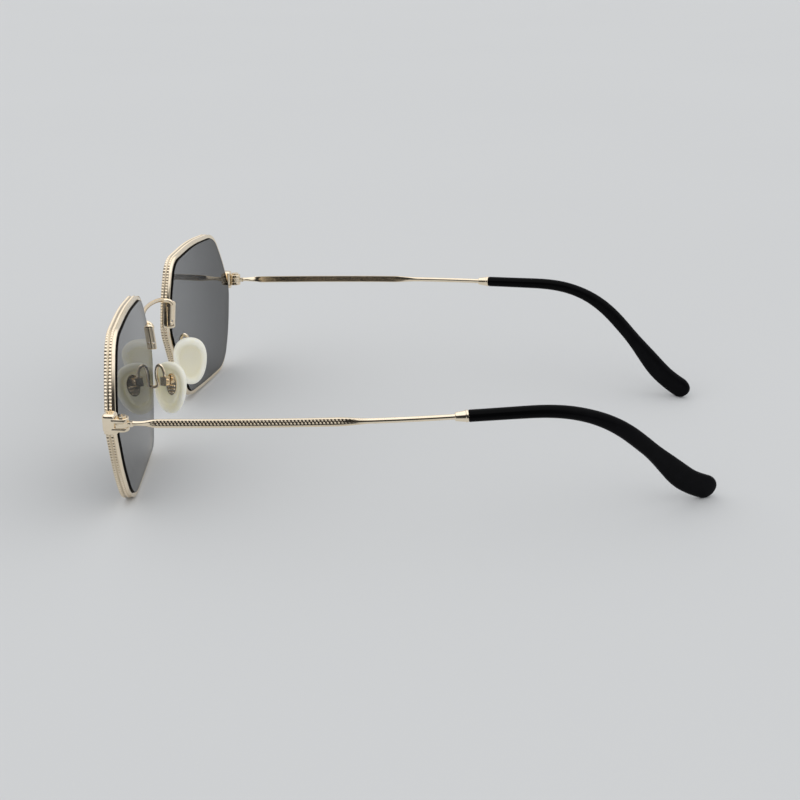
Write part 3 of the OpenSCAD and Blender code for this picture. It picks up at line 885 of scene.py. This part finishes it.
@dataclass
class Bridge:
    """Arched wire whose ends lie as flat feet on the nose sides of the rims.

    The wire leaves the arch in front of each foot, turns back over its top and goes down into it. The
    bends pull it to these places, seen from the middle of the foot's top.
    """

    form: LensForm
    radius: float = 0.58
    rise: float = 1.9
    reach: float = 3.3
    level: float = 3
    foot_from: float = 3.8
    foot_h: float = 7
    foot_t: float = 0.9
    arch_share: float = 0.41
    arch_end: tuple[float, float, float] = (-2.9, -2, 1.8)
    turn_from: tuple[float, float, float] = (-1.1, -1.4, 1)
    turn_mid: tuple[float, float, float] = (-0.3, -0.6, 0.7)
    turn_top: tuple[float, float, float] = (-0.15, 1.1, 0.95)
    turn_end: tuple[float, float, float] = (-0.1, 1.2, -0.8)
    foot_plan: tuple[tuple[float, float], ...] = (
        (1.3, -1.3), (1.8, -1.3), (2.02, -1.15), (2.1, -0.85), (2.1, -0.45), (2.03, 0.0), (1.86, 0.45),
        (1.62, 0.9), (1.34, 1.3), (1.0, 1.6), (0.6, 1.68), (0.42, 1.5), (0.4, 0.9), (0.4, 0.12), (1.0, 0.1),
        (1.2, -0.1), (1.2, -1.2))
    foot_middle: tuple[float, float] = (1.3, 0.3)
    foot_round: float = 0.55
    foot_end: float = 0.45
    foot_rows: int = 41
    foot_cuts: int = 86
    hole: tuple[float, float, float] = (1.0, 5.9, 0.35)
    hole_cuts: int = 24
    drill_span: tuple[float, float] = (-4, 2)
    steps: tuple[int, int] = (40, 30)
    cuts: int = 28
    ends: float = 0.3

    def foot_top(self) -> Array:
        """The middle of the foot's top edge."""
        f, top = self.form, self.foot_from + self.foot_h
        return f.at(-f.nose_edge(f.rim_wall + self.foot_t / 2, top), 0, top)

    def path(self) -> Array:
        """The wire's middle line: from the top of the arch to a foot and over it, on both sides."""
        f, foot = self.form, self.foot_top()
        front = f.at(-f.width / 2, 0, self.level)[1] - self.reach
        height = f.at(-f.width / 2, 0, self.foot_from + self.foot_h)[2] + self.rise
        arch_end, start, mid, top, end = (foot + np.array(v) for v in (
            self.arch_end, self.turn_from, self.turn_mid, self.turn_top, self.turn_end))
        peak = [[0, front, height], [foot[0] * self.arch_share, front, height]]
        arch = bezier(np.array([*peak, arch_end, start]), self.steps[0])
        half = np.concatenate([arch, bezier(np.array([start, mid, top, end]), self.steps[1])[1:]])
        return np.concatenate([half[:0:-1] * [-1, 1, 1], half])

    def foot(self) -> Shell:
        """The foot: its plan, beside and behind the rim, is carried up the rim and drawn in at both ends."""
        f = self.form
        track, normals = f.walk(0, np.linspace(0, 1, SEARCH))
        nose = (track[:, 0] < 0) & (np.abs(track[:, 1] - self.foot_from - self.foot_h / 2) < self.foot_h)
        order = np.flatnonzero(nose)[track[nose, 1].argsort()]
        v = self.foot_from + self.foot_h * (1 - np.cos(np.linspace(0, np.pi, self.foot_rows))) / 2
        u, out_u, out_v = (np.interp(v, track[order, 1], column[order])[:, None]
                           for column in (track[:, 0], normals[:, 0], normals[:, 1]))
        near = np.clip(np.minimum(v - v[0], v[-1] - v) / self.foot_round, 0, 1)[:, None]
        shrink = self.foot_end + (1 - self.foot_end) * np.sqrt(1 - (1 - near) ** 2)
        plan = smooth_line(np.array(self.foot_plan + self.foot_plan[:1]), self.foot_cuts)[:-1]
        out, depth = ((plan[:, k] - self.foot_middle[k]) * shrink + self.foot_middle[k] for k in (0, 1))
        return Shell(f.at(u + out_u * out, depth, v[:, None] + out_v * out))

    def drill(self, side: Side) -> bpy.types.Object:
        """The bar that makes the hole in a foot."""
        depth, up, radius = self.hole
        path = vec(-self.form.width / 2 + np.linspace(*self.drill_span, 3), depth, up)
        bar = rod(self.form.at(*path.T), radius, self.hole_cuts, (0, 0, 1))
        return build(sided("drill", side), [bar], side)

    def make(self) -> None:
        """Builds the round wire and the two feet."""
        wire = build("bridge_wire", [rod(self.path(), self.radius, self.cuts, (0, 1, 1), self.ends)])
        look = Look("bridge_foot", "bridge", sharp=60)
        look.dress(wire, Side.LEFT)
        for side in Side:
            foot = build(sided(look.name, side), [self.foot()], side, look.sharp)
            carve(foot, self.drill(side))
            look.dress(foot, side)


@dataclass
class EndPiece(Twin):
    """End piece: a block with a pillow-like top beside the rim, and the two outer leaves of the hinge."""

    look = Look("end_block", "end_piece", sharp=50)

    hinge: Array
    lean: float = 4
    near: float = -1.7
    far: float = 1.6
    front: float = -4.45
    back: float = -1.25
    top: float = 2.6
    bottom: float = -1.6
    corner: float = 0.9
    crown: float = 0.8
    edge: float = 0.14
    barrel: float = 1.6
    leaf: tuple[float, float] = (0.64, 1.6)
    leaf_edge: float = 0.14
    root: float = 0.9
    root_to: float = -0.1
    root_rows: int = 5
    cap: float = 0.1
    arc_rows: int = 9
    pin_cuts: int = 41

    def at(self, plan: Array, height: Array | float) -> Array:
        """Points given in the hinge's own axes."""
        return turn(vec(plan[..., 0], plan[..., 1], height), Y, self.lean) + self.hinge

    def block_ring(self, inset: float) -> Array:
        """The block's plan, drawn in: four corners on quarter circles."""
        r = max(self.corner - inset, self.cap)
        x = np.array([self.near, self.far]) + [inset + r, -inset - r]
        y = np.array([self.front, self.back]) + [inset + r, -inset - r]
        middles = ((x[1], y[1]), (x[0], y[1]), (x[0], y[0]), (x[1], y[0]))
        quarter = np.linspace(0, np.pi / 2, self.arc_rows)
        arcs = [middle + r * spokes(quarter + k * np.pi / 2) for k, middle in enumerate(middles)]
        return np.concatenate(arcs)

    def leaf_ring(self, inset: float) -> Array:
        """A leaf's plan, drawn in: three quarters round the pin, and a root that runs into the block."""
        r, end = self.barrel - inset, self.back - self.root
        arc = r * spokes(np.linspace(0, 1.5 * np.pi, self.pin_cuts))
        return np.concatenate([vec(r, np.linspace(end, self.root_to, self.root_rows)), arc, [[0, end]]])

    def stack(self, ring: Callable[[float], Array], levels: list[tuple[float, float]]) -> Shell:
        """A shell of rings at the given heights and insets."""
        return Shell(np.stack([self.at(ring(inset), height) for height, inset in levels]))

    def shells(self) -> list[Shell]:
        """The block and the leaves, each of rings that draw in at its broken edges."""
        arc, low, edge = np.linspace(0, np.pi / 2, self.arc_rows), self.bottom, self.edge
        levels = [(low, edge + self.cap), (low, edge), (low + edge, 0), (low + 2 * edge, 0),
                  (self.top - self.crown - self.cap, 0)]
        levels += [(self.top - self.crown * (1 - math.sin(a)), self.crown * (1 - math.cos(a))) for a in arc]
        shells = [self.stack(self.block_ring, levels)]
        low, high, e = *self.leaf, self.leaf_edge
        for a, b in ((low, high), (-high, -low)):
            steps = [(a, e + self.cap), (a, e / 2), (a + e / 2, 0), (a + e, 0)]
            steps += [(b - e, 0), (b - e / 3, e / 3), (b, e), (b, e + self.cap)]
            shells.append(self.stack(self.leaf_ring, steps))
        return shells


@dataclass
class Hardware:
    """Rim locks, screws, knuckles and pad cores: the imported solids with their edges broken."""

    nodes: dict[str, bpy.types.Object]
    parts: tuple[tuple[str, str, float], ...] = (
        ("rim_lock", "front", 0.25), ("lock_screw", "front", 0.05), ("hinge_screw", "front", 0.06),
        ("pad_screw", "front", 0.04), ("knuckle", "temple", 0.1), ("pad_core", "pad", 0.06))

    def make(self, side: Side) -> None:
        """Dresses the small metal parts of one side."""
        for kind, body, width in self.parts:
            name = sided(kind, side)
            piece = softened(f"soft_{name}", self.nodes[name], width)
            Look(f"soft_{kind}", kind, body).dress(piece, side)


# Nose pads


@dataclass
class PadForm:
    """Place of the left nose pad, in millimetres."""

    form: LensForm
    out: float = 11.4
    back: float = 4.9
    down: float = 6.2
    splay: float = 14
    flare: float = 5
    height: float = 14.2
    width: float = 9.2
    thick: float = 2.2
    core_t: float = 0.5
    lug_reach: float = 1.2
    pivot_up: float = 2.6
    box_h: float = 2.4

    def __post_init__(self) -> None:
        """Works out the pad's centre."""
        f = self.form
        self.centre = np.array([self.out, f.at(-f.width / 2, 0, 0)[1] + self.back, f.centre[2] - self.down])
        self.pivot = self.thick / 2 + self.core_t + self.lug_reach

    def at(self, p: Array) -> Array:
        """Points given in the pad's own axes: X away from the nose, Y across, Z up."""
        return turn(turn(p, Y, -self.flare), Z, -self.splay) + self.centre


@dataclass
class PadArm(Twin):
    """Goose-necked wire from the back of the rim to the pad's box."""

    look = Look("pad_wire", "pad_arm")

    pad: PadForm
    nodes: dict[str, bpy.types.Object]
    radius: float = 0.46
    root_down: float = 5.6
    root_gap: float = 0.1
    leave: tuple[float, float, float] = (0, 2.4, 0)
    climb: tuple[float, float, float] = (0.2, 1.2, 1.6)
    shoulder: tuple[float, float, float] = (0.6, 1.3, 3.9)
    crest: tuple[float, float, float] = (0.4, 1.3, 7.6)
    above_pad: tuple[float, float] = (0.5, 4.8)
    into_box: float = 0.3
    box_edge: float = 0.12
    steps: tuple[int, int] = (30, 36)
    cuts: int = 20
    ends: float = 0.2

    def path(self) -> Array:
        """The wire's middle line: one cubic up from the rim and one over the crest down to the box."""
        p, f = self.pad, self.pad.form
        root = f.at(-f.nose_edge(f.rim_wall / 2, -self.root_down), self.root_gap, -self.root_down)
        top = p.at(np.array([p.pivot + self.into_box, 0, p.pivot_up + p.box_h / 2 - self.into_box]))
        high = p.at(np.array([p.pivot + self.above_pad[0], 0, p.pivot_up + self.above_pad[1]]))
        offsets = (self.leave, self.climb, self.shoulder, self.crest)
        leave, climb, shoulder, crest = (root + np.array(v) for v in offsets)
        rise = bezier(np.array([root, leave, climb, shoulder]), self.steps[0])
        fall = bezier(np.array([shoulder, crest, high, top]), self.steps[1])
        return np.concatenate([rise, fall[1:]])

    def shells(self) -> list[Shell]:
        """The wire."""
        return [rod(self.path(), self.radius, self.cuts, (1, 0.02, 0), self.ends)]

    def make(self, side: Side) -> bpy.types.Object:
        """Builds the smooth wire and the softened box of one side, and returns the wire."""
        wire = super().make(side)
        p, mirror = self.pad, [side.value, 1, 1]
        top, low = (p.at(np.array([p.pivot, 0, p.pivot_up + k * p.box_h / 2])) for k in (1, -1))
        out = p.at(np.array([0, 0, 1.0])) - p.centre
        cut = Cut(top * mirror, out * mirror, low * mirror)
        box = softened(sided("pad_box", side), self.nodes[sided(self.look.node, side)], self.box_edge, cut)
        self.look.dress(box, side)
        return wire


@dataclass
class CoreRibs(Twin):
    """Raised ribs across the oval metal core on the back of a pad."""

    look = Look("core_ribs", "pad_core", "pad")

    pad: PadForm
    middle: tuple[float, float] = (1.1, 1.4)
    heights: tuple[float, ...] = (-0.35, -1.25, -2.15)
    radius: float = 0.25
    half_height: float = 3
    half_width: float = 1.5
    rings: int = 12
    cuts: int = 16
    ends: float = 0.2

    def shells(self) -> list[Shell]:
        """The ribs, each as long as the oval is wide at its height."""
        p, shells = self.pad, []
        for up in self.heights:
            reach = self.half_width * math.sqrt(1 - (up / self.half_height) ** 2) - self.radius
            across = self.middle[0] + np.linspace(-reach, reach, self.rings)
            line = p.at(vec(p.thick / 2 + p.core_t, across, self.middle[1] + up))
            shells.append(rod(line, self.radius, self.cuts, (0, 0.1, 1), self.ends))
        return shells


@dataclass
class NosePad(Twin):
    """Soft pad with a raised lip round a shallow dish, and a flat back that holds the metal core."""

    look = Look("milky_pad", "nose_pad", "pad", Slot.MILKY, (MILKY,), sharp=80)

    pad: PadForm
    squareness: float = 2.25
    narrow: float = 0.14
    dish_span: tuple[float, float] = (0.6, 0.8)
    back_span: tuple[float, float] = (0.9, 0.7)
    back_cream: float = 0.35
    cuts: int = 72
    rings: int = 110
    profile: tuple[tuple[float, float], ...] = (
        (0.02, -0.34), (0.35, -0.36), (0.55, -0.42), (0.66, -0.58), (0.73, -0.92), (0.8, -1.08),
        (0.88, -1.06), (0.95, -0.84), (0.99, -0.4), (1.0, 0.05), (0.985, 0.5), (0.94, 0.84), (0.87, 1.02),
        (0.8, 1.04), (0.75, 0.94), (0.7, 0.8), (0.64, 0.8), (0.58, 0.98), (0.5, 1.08), (0.02, 1.1))

    def shells(self) -> list[Shell]:
        """Rings of a rounded outline: each profile row gives a ring's share of the outline and its depth."""
        p = self.pad
        line = smooth_line(np.array(self.profile), self.rings)
        share, depth = line[:, :1], line[:, 1:]
        y, z = squared(circle(self.cuts), 2 / self.squareness)
        y = y * p.width / 2 * (1 + self.narrow * z)
        dish, back = 1 - ramp(share, *self.dish_span), self.back_cream * ramp(share, *self.back_span)
        grid = p.at(vec(depth, share * y, share * z * p.height / 2))
        return [Shell(grid, recess=np.where(depth < 0, dish, back))]

    def make(self, side: Side) -> bpy.types.Object:
        """Builds and dresses the pad of one side."""
        piece = super().make(side)
        return piece


# Temples


@dataclass
class TempleRoute:
    """Middle line of the left temple: its heading and its pitch are smooth ramps of the length walked."""

    hinge: Array
    arm_len: float = 80
    tip_len: float = 74
    ferrule_len: float = 3.1
    lift: float = 1.9
    arm_in: float = 10.7
    arm_power: float = 2.1
    tip_in: float = 32
    curl: tuple[float, float] = (17, 49)
    drop: float = 44
    drop_span: tuple[float, float] = (12, 45)
    lift_back: float = 21
    lift_span: tuple[float, float] = (58, 74)
    tip_r: float = 1.45
    bend_h: float = 3.5
    paddle_h: float = 6.7
    paddle_len: float = 26.5
    paddle_t: float = 2.4
    flare_len: float = 16
    step: float = 0.25
    last: float = 0.05
    low: float = -1
    tries: int = 1600

    def __post_init__(self) -> None:
        """Walks the route once, and scales its drop so that the tip just meets the table."""
        count = math.ceil(self.end / self.step)
        ds = self.end / count
        middles = (np.arange(count) + 0.5) * ds
        self.marks = np.arange(count + 1) * ds
        self.line = np.concatenate([np.zeros((1, 3)), (ds * self.along(middles)).cumsum(0)])
        s = np.linspace(self.arm_len, self.end - self.last, self.tries)
        z = np.interp(s, self.marks, self.line[:, 2])
        below = z < self.low
        up = self.tip_up(s) * np.cos(np.radians(self.pitch(s)))
        self.drop_scale = float(((self.hinge[2] - up[below]) / -z[below]).min())

    @property
    def end(self) -> float:
        """Length of the whole route."""
        return self.arm_len + self.tip_len

    def heading(self, s: Array) -> Array:
        """Turn towards the head in degrees."""
        cone = self.arm_len - self.ferrule_len
        arm = self.arm_in * (np.minimum(s, cone) / cone) ** self.arm_power
        return arm + (self.tip_in - self.arm_in) * ramp(s - self.arm_len, *self.curl)

    def pitch(self, s: Array) -> Array:
        """Turn upwards in degrees."""
        t = s - self.arm_len
        return self.lift - self.drop * ramp(t, *self.drop_span) + self.lift_back * ramp(t, *self.lift_span)

    def along(self, s: Array) -> Array:
        """Direction of the route."""
        p = np.radians(self.pitch(s))
        return turn(vec(0, np.cos(p), np.sin(p)), Z, self.heading(s))

    def at(self, s: Array, side: Array | float, up: Array | float) -> Array:
        """Points beside the route, side outward and up square to it.

        Args:
            s: lengths along the route.
            side: distances away from the head.
            up: distances upwards.

        Returns:
            The points in the frame.
        """
        p = np.radians(self.pitch(s))
        line = vec(*[np.interp(s, self.marks, self.line[:, k]) for k in range(3)]) * [1, 1, self.drop_scale]
        across = turn(vec(np.ones_like(p), 0, 0), Z, self.heading(s))
        upright = turn(vec(0, -np.sin(p), np.cos(p)), Z, self.heading(s))
        return self.hinge + line + across * np.asarray(side)[..., None] + upright * np.asarray(up)[..., None]

    def close(self, s: Array) -> Array:
        """Share of the size left near the end, on a circle."""
        t = np.clip((s - (self.end - self.paddle_h / 2)) / (self.paddle_h / 2), 0, 1)
        return np.sqrt(1 - t * t)

    def tip_up(self, s: Array) -> Array:
        """Half height of the tip."""
        t, start = s - self.arm_len, self.tip_len - self.paddle_len
        grow = (self.bend_h / 2 - self.tip_r) * ramp(t, 0, start)
        flare = (self.paddle_h - self.bend_h) / 2 * ramp(t, start, start + self.flare_len)
        return (self.tip_r + grow + flare) * self.close(s)

    def tip_side(self, s: Array) -> Array:
        """Half thickness of the tip."""
        thin = (self.paddle_t / 2 - self.tip_r) * ramp(s - self.arm_len, 0, self.tip_len)
        return (self.tip_r + thin) * np.sqrt(self.close(s))


@dataclass
class Temple(Twin):
    """Temple: thin neck, milled strip with two rows of beads, then a round wire that enters the tip."""

    look = Look("milled_temple", "temple", "temple", finishes=(MILLED,))

    route: TempleRoute
    start: float = 2.45
    neck: tuple[tuple[float, float], ...] = ((2.4, 0.46), (3.4, 0.42), (5.2, 0.68), (8.2, 0.95), (50, 0.95))
    neck_round: float = 0.75
    neck_thin: float = 0.9
    round_span: tuple[float, float] = (4.5, 8)
    half_t: float = 0.6
    half_h: float = 0.95
    wire_r: float = 0.65
    rows: tuple[float, float] = (0.60, 0.02)
    row_half: float = 0.26
    bead: float = 0.84
    bead_h: float = 0.16
    dot: float = 0.52
    dot_across: float = 0.8
    bevel: float = 0.38
    bevel_foot: float = -0.27
    bead_from: tuple[float, float] = (5.6, 7.6)
    lean: float = 8.5
    neck_turn: float = 48
    neck_span: tuple[float, float] = (3.4, 8.6)
    bead_to: tuple[float, float] = (50, 55)
    fade: tuple[float, float] = (50, 58)
    slant: float = 0.22
    into_tip: float = 3
    dot_mark: float = 0.8
    cuts: int = 8
    neck_rows: int = 24
    wire_rows: int = 40

    def section(self) -> Array:
        """Columns round the strip, from the top of the outer face down it and back up the inner face.

        The rows of beads lie on a slope that faces a little upwards, the plain band below them doesn't.

        Returns:
            Side, up, share of the bead height, place across its bead and share of painted shade of each
            column.
        """
        t, h, low = self.half_t, self.half_h, self.half_t - 0.08
        cols = [[0, h, 0, 0, 0], [0.1, h, 0, 0, 0], [0.16, h - 0.02, 0, 0, 0], [0.2, h - 0.06, 0, 0, 0]]
        for middle in self.rows:
            places = middle - self.row_half * ACROSS
            slope = low - self.bevel * (places - self.bevel_foot)
            share = dots(ACROSS / 2 + 0.5, self.dot_across)
            cols += np.stack([slope, places, share, -ACROSS, self.dot_mark * (share == 0)], 1).tolist()
        cols += [[low + 0.04, -0.30, 0, 0, 0.3], [t - 0.02, -0.34, 0, 0, 0], [t - 0.02, -0.52, 0, 0, 0],
                 [t - 0.07, -0.55, 0, 0, 0.8], [t - 0.02, -0.58, 0, 0, 0], [t - 0.02, -0.8, 0, 0, 0],
                 [t - 0.06, -0.89, 0, 0, 0], [t - 0.15, -h, 0, 0, 0], [0, -h, 0, 0, 0]]
        back = [[-t + 0.15, h], [-t + 0.04, h - 0.05], [-t, h - 0.15], [-t, h - 0.21]]
        cols += [[side, -up, 0, 0, 0] for side, up in back] + [[-t, 0, 0, 0, 0]]
        cols += [[side, up, 0, 0, 0] for side, up in back[::-1]] + [[-0.2, h, 0, 0, 0]]
        return np.array(cols, float)

    def shells(self) -> list[Shell]:
        """The strip's section carried along the route, drawn in at the neck and blended to a circle.

        Returns:
            One shell, with the beads counted by the length walked.
        """
        milled = np.arange(self.bead_from[0], self.bead_to[1], self.bead / self.cuts)
        before = np.linspace(self.start, milled[0], self.neck_rows)
        behind = np.linspace(milled[-1], self.route.arm_len + self.into_tip, self.wire_rows)
        s = np.concatenate([before[:-1], milled, behind[1:]])[:, None]
        side, up, share, x, groove_shade = self.section().T
        on = ramp(s, *self.bead_from) * (1 - ramp(s, *self.bead_to))
        row = np.where(up > sum(self.rows) / 2, 0.0, 0.5)
        bump = dots(s / self.bead + row + self.slant * x, self.dot) * share
        side = side + on * bump * self.bead_h
        angle = np.arctan2(up / self.half_h, side / self.half_t)
        height = np.interp(s, *np.array(self.neck).T) / self.half_h
        neck = self.neck_round * (1 - ramp(s, *self.round_span))
        side = side * (1 - neck) + self.half_t * self.neck_thin * np.cos(angle) * neck
        up = (up * (1 - neck) + self.half_h * np.sin(angle) * neck) * height
        wire = ramp(s, *self.fade)
        side = side * (1 - wire) + self.wire_r * np.cos(angle) * wire
        up = up * (1 - wire) + self.wire_r * np.sin(angle) * wire
        roll = np.radians(self.lean + self.neck_turn * (1 - ramp(s, *self.neck_span)))
        side, up = side * np.cos(roll) + up * np.sin(roll), up * np.cos(roll) - side * np.sin(roll)
        # painted shade: the recess mark darkens the ground between the dots and the line in the plain band
        mark = np.clip(groove_shade + np.where(share > 0, self.dot_mark * (1 - bump) ** 3, 0), 0, 1) * on
        return [Shell(self.route.at(s, side, up), recess=mark)]


@dataclass
class Tip(Twin):
    """Black tip: a round start, a bend, and a flat paddle with soft edges and a nearly straight back."""

    look = Look("black_tip", "tip", "temple", Slot.ACETATE, (ACETATE,))

    route: TempleRoute
    fill: float = 0.55
    fill_span: tuple[float, float] = (26, 44)
    drop: float = 0.75
    drop_span: tuple[float, float] = (46, 66)
    start_round: float = 0.4
    start_cap: float = 0.5
    start_rows: int = 8
    body_from: float = 0.6
    end_turn: tuple[float, float] = (0.06, 1.55)
    end_rows: int = 26
    square: float = 0.7
    square_span: tuple[float, float] = (20, 60)
    wear_span: tuple[float, float] = (8, 50)
    rows: int = 150
    cuts: int = 48

    def shells(self) -> list[Shell]:
        """Rounded sections along the route, more square towards the paddle, closed at both ends."""
        r = self.route
        body = np.linspace(r.arm_len + self.body_from, r.end - r.paddle_h / 2, self.rows)
        end = r.end - r.paddle_h / 2 * (1 - np.sin(np.linspace(*self.end_turn, self.end_rows)))
        quarter = np.linspace(0, np.pi / 2, self.start_rows)
        first = r.arm_len + self.start_round * (1 - np.cos(quarter))
        s = np.concatenate([[r.arm_len], first, body, end])[:, None]
        start = np.concatenate([[self.start_cap], 1 - self.start_round / r.tip_r * (1 - np.sin(quarter))])
        shrink = np.concatenate([start, np.ones(len(s) - len(start))])[:, None]
        t, k = s - r.arm_len, circle(self.cuts)
        side, up = squared(k, 2 / (2 + self.square * ramp(t, *self.square_span)))
        back = self.fill * ramp(t, *self.fill_span) - (self.fill + self.drop) * ramp(t, *self.drop_span)
        half = r.tip_up(s) + back * r.close(s) * (np.sin(k) > 0)
        grid = r.at(s, side * r.tip_side(s) * shrink, up * half * shrink)
        return [Shell(grid, recess=ramp(t, *self.wear_span))]


@dataclass
class Ferrule(Twin):
    """Turned cone between the wire and the tip."""

    look = Look("turned_ferrule", "ferrule", "temple", sharp=25)

    route: TempleRoute
    cuts: int = 48
    profile: tuple[tuple[float, float], ...] = (
        (-0.02, 0.7), (-0.02, 1.38), (-0.1, 1.45), (-0.55, 1.45), (-0.68, 1.34), (-0.8, 1.34), (-2.7, 1.06),
        (-2.95, 1.03), (-3.06, 0.95), (-3.1, 0.7))

    def shells(self) -> list[Shell]:
        """The profile turned round the route's direction at the start of the tip."""
        r, k = self.route, circle(self.cuts)
        line = np.array(self.profile)
        start = np.array(float(r.arm_len))
        grid = r.at(start, line[:, 1:] * np.cos(k), line[:, 1:] * np.sin(k))
        return [Shell(grid + line[:, :1, None] * r.along(start))]


# Studio


@dataclass
class Studio:
    """Pale table, soft light with a dark side of the room, and the camera of the photograph."""

    table: Colour = (0.635, 0.645, 0.65)
    cloud: Colour = (0.61595, 0.62565, 0.6305)
    cloud_size: float = 260
    reach: float = 9
    eye: tuple[float, float, float] = (0.36707, 0.03035, 0.14300)
    forward: tuple[float, float, float] = (-0.93594, -0.09282, -0.33970)
    right: tuple[float, float, float] = (-0.09697, 0.99528, -0.00477)
    focal: float = 64.784
    even: float = 1.0
    backdrop: float = 0.62
    sky: float = 0.62
    zenith: float = 1.25
    shade: float = 0.03
    dark_from: tuple[float, float] = (0.10, 0.34)
    dark_to: tuple[float, float] = (0.5, 0.8)
    dark_beside: tuple[float, float] = (0.40, 0.66)
    dark_before: tuple[float, float] = (-0.28, -0.42)
    front_edge: tuple[float, float] = (0.14, 0.18)
    edge_slant: float = 0.04
    zenith_span: tuple[float, float] = (0.4, 0.8)
    before_up: tuple[float, float] = (0.42, 0.6)
    slant_span: tuple[float, float] = (-0.06, -0.01)

    def floor(self) -> None:
        """Makes the table top: pale, but dark in reflections past its front edge, where the room begins."""
        mesh, r = bpy.data.meshes.new("table_top"), self.reach
        mesh.from_pydata([(-r, -r, 0), (r, -r, 0), (r, r, 0), (-r, r, 0)], [], [(0, 1, 2, 3)])
        top = linked("table_top", mesh)
        paint = bpy.data.materials.new("pale_table")
        graph = Graph(paint)
        where = graph.where()
        tone = graph.mix(graph.noise(where, self.cloud_size), self.table, self.cloud)
        x, y, _ = graph.split(where)
        past = x + graph.spread(y, *self.slant_span) * self.edge_slant
        mirrored = graph.node("ShaderNodeLightPath").out("Is Glossy Ray")
        tone = graph.mix(graph.spread(past, *self.front_edge) * mirrored, tone, (self.shade,) * 3)
        graph.surface(graph.coat({"Base Color": tone, "Roughness": 0.75, "Specular IOR Level": 0.2}))
        mesh.materials.append(paint)

    def room(self) -> None:
        """Lights the room evenly; metal mirrors a bright far side and, towards the camera, a dark room."""
        world = bpy.data.worlds.new("soft_room")
        bpy.context.scene.world = world
        graph = Graph(world)
        x, y, z = graph.split(graph.where("Generated"))
        turned = y / (x * x + y * y + 1e-6) ** 0.5
        dark = graph.spread(x, *self.dark_from) * (1 - graph.spread(z, *self.dark_to))
        dark = dark * (1 - graph.spread(turned, *self.dark_beside))
        dark = dark * (1 - graph.spread(turned, *self.dark_before) * graph.spread(z, *self.before_up))
        glow = graph.spread(z, *self.zenith_span, self.sky, self.zenith)
        ray = graph.node("ShaderNodeLightPath")
        mirrored, seen = ray.out("Is Glossy Ray"), ray.out("Is Camera Ray")
        strength = mirrored * (glow * (1 - dark * (1 - self.shade))) + seen * self.backdrop
        strength = strength + (1 - mirrored - seen) * self.even
        light = {"Color": (0.985, 0.99, 1.0), "Strength": strength}
        graph.surface(graph.node("ShaderNodeBackground", {}, light).out("Background"))

    def camera(self) -> None:
        """Sets the camera: its axes are given in the frame."""
        lens = bpy.data.cameras.new("camera")
        lens.lens = self.focal
        lens.sensor_width = 36
        lens.clip_start = 0.005
        lens.clip_end = 60
        view = linked("camera", lens)
        ahead, right = unit(np.array(self.forward)), unit(np.array(self.right))
        right = unit(right - ahead * (right @ ahead))
        up = np.cross(right, ahead)
        axes = np.eye(4)
        axes[:3, 0], axes[:3, 1], axes[:3, 2], axes[:3, 3] = right, up, -ahead, self.eye
        view.matrix_world = Matrix(axes.tolist())
        bpy.context.scene.camera = view

    def make(self) -> None:
        """Builds the stage, the light and the camera."""
        self.floor()
        self.room()
        self.camera()
        bpy.context.scene.view_settings.view_transform = "Standard"


def corners(box: tuple) -> list[list[float]]:
    """A box's two corners as plain lists."""
    return [[float(v) for v in corner] for corner in box]


def main() -> None:
    """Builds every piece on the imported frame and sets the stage."""
    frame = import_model()
    nodes = frame["nodes"]
    hinge = np.array(next(j for j in frame["joints"] if j["name"] == "temple_left_fold")["pos_m"]) / MM
    form = LensForm(hinge)
    pad = PadForm(form)
    route = TempleRoute(hinge)
    Studio().make()
    Bridge(form).make()
    for side in Side:
        Rim(form).make(side)
        Lens(form).make(side)
        EndPiece(hinge).make(side)
        Hardware(nodes).make(side)
        PadArm(pad, nodes).make(side)
        CoreRibs(pad).make(side)
        NosePad(pad).make(side)
        Temple(route).make(side)
        Ferrule(route).make(side)
        Tip(route).make(side)


if __name__ == "__main__":
    main()
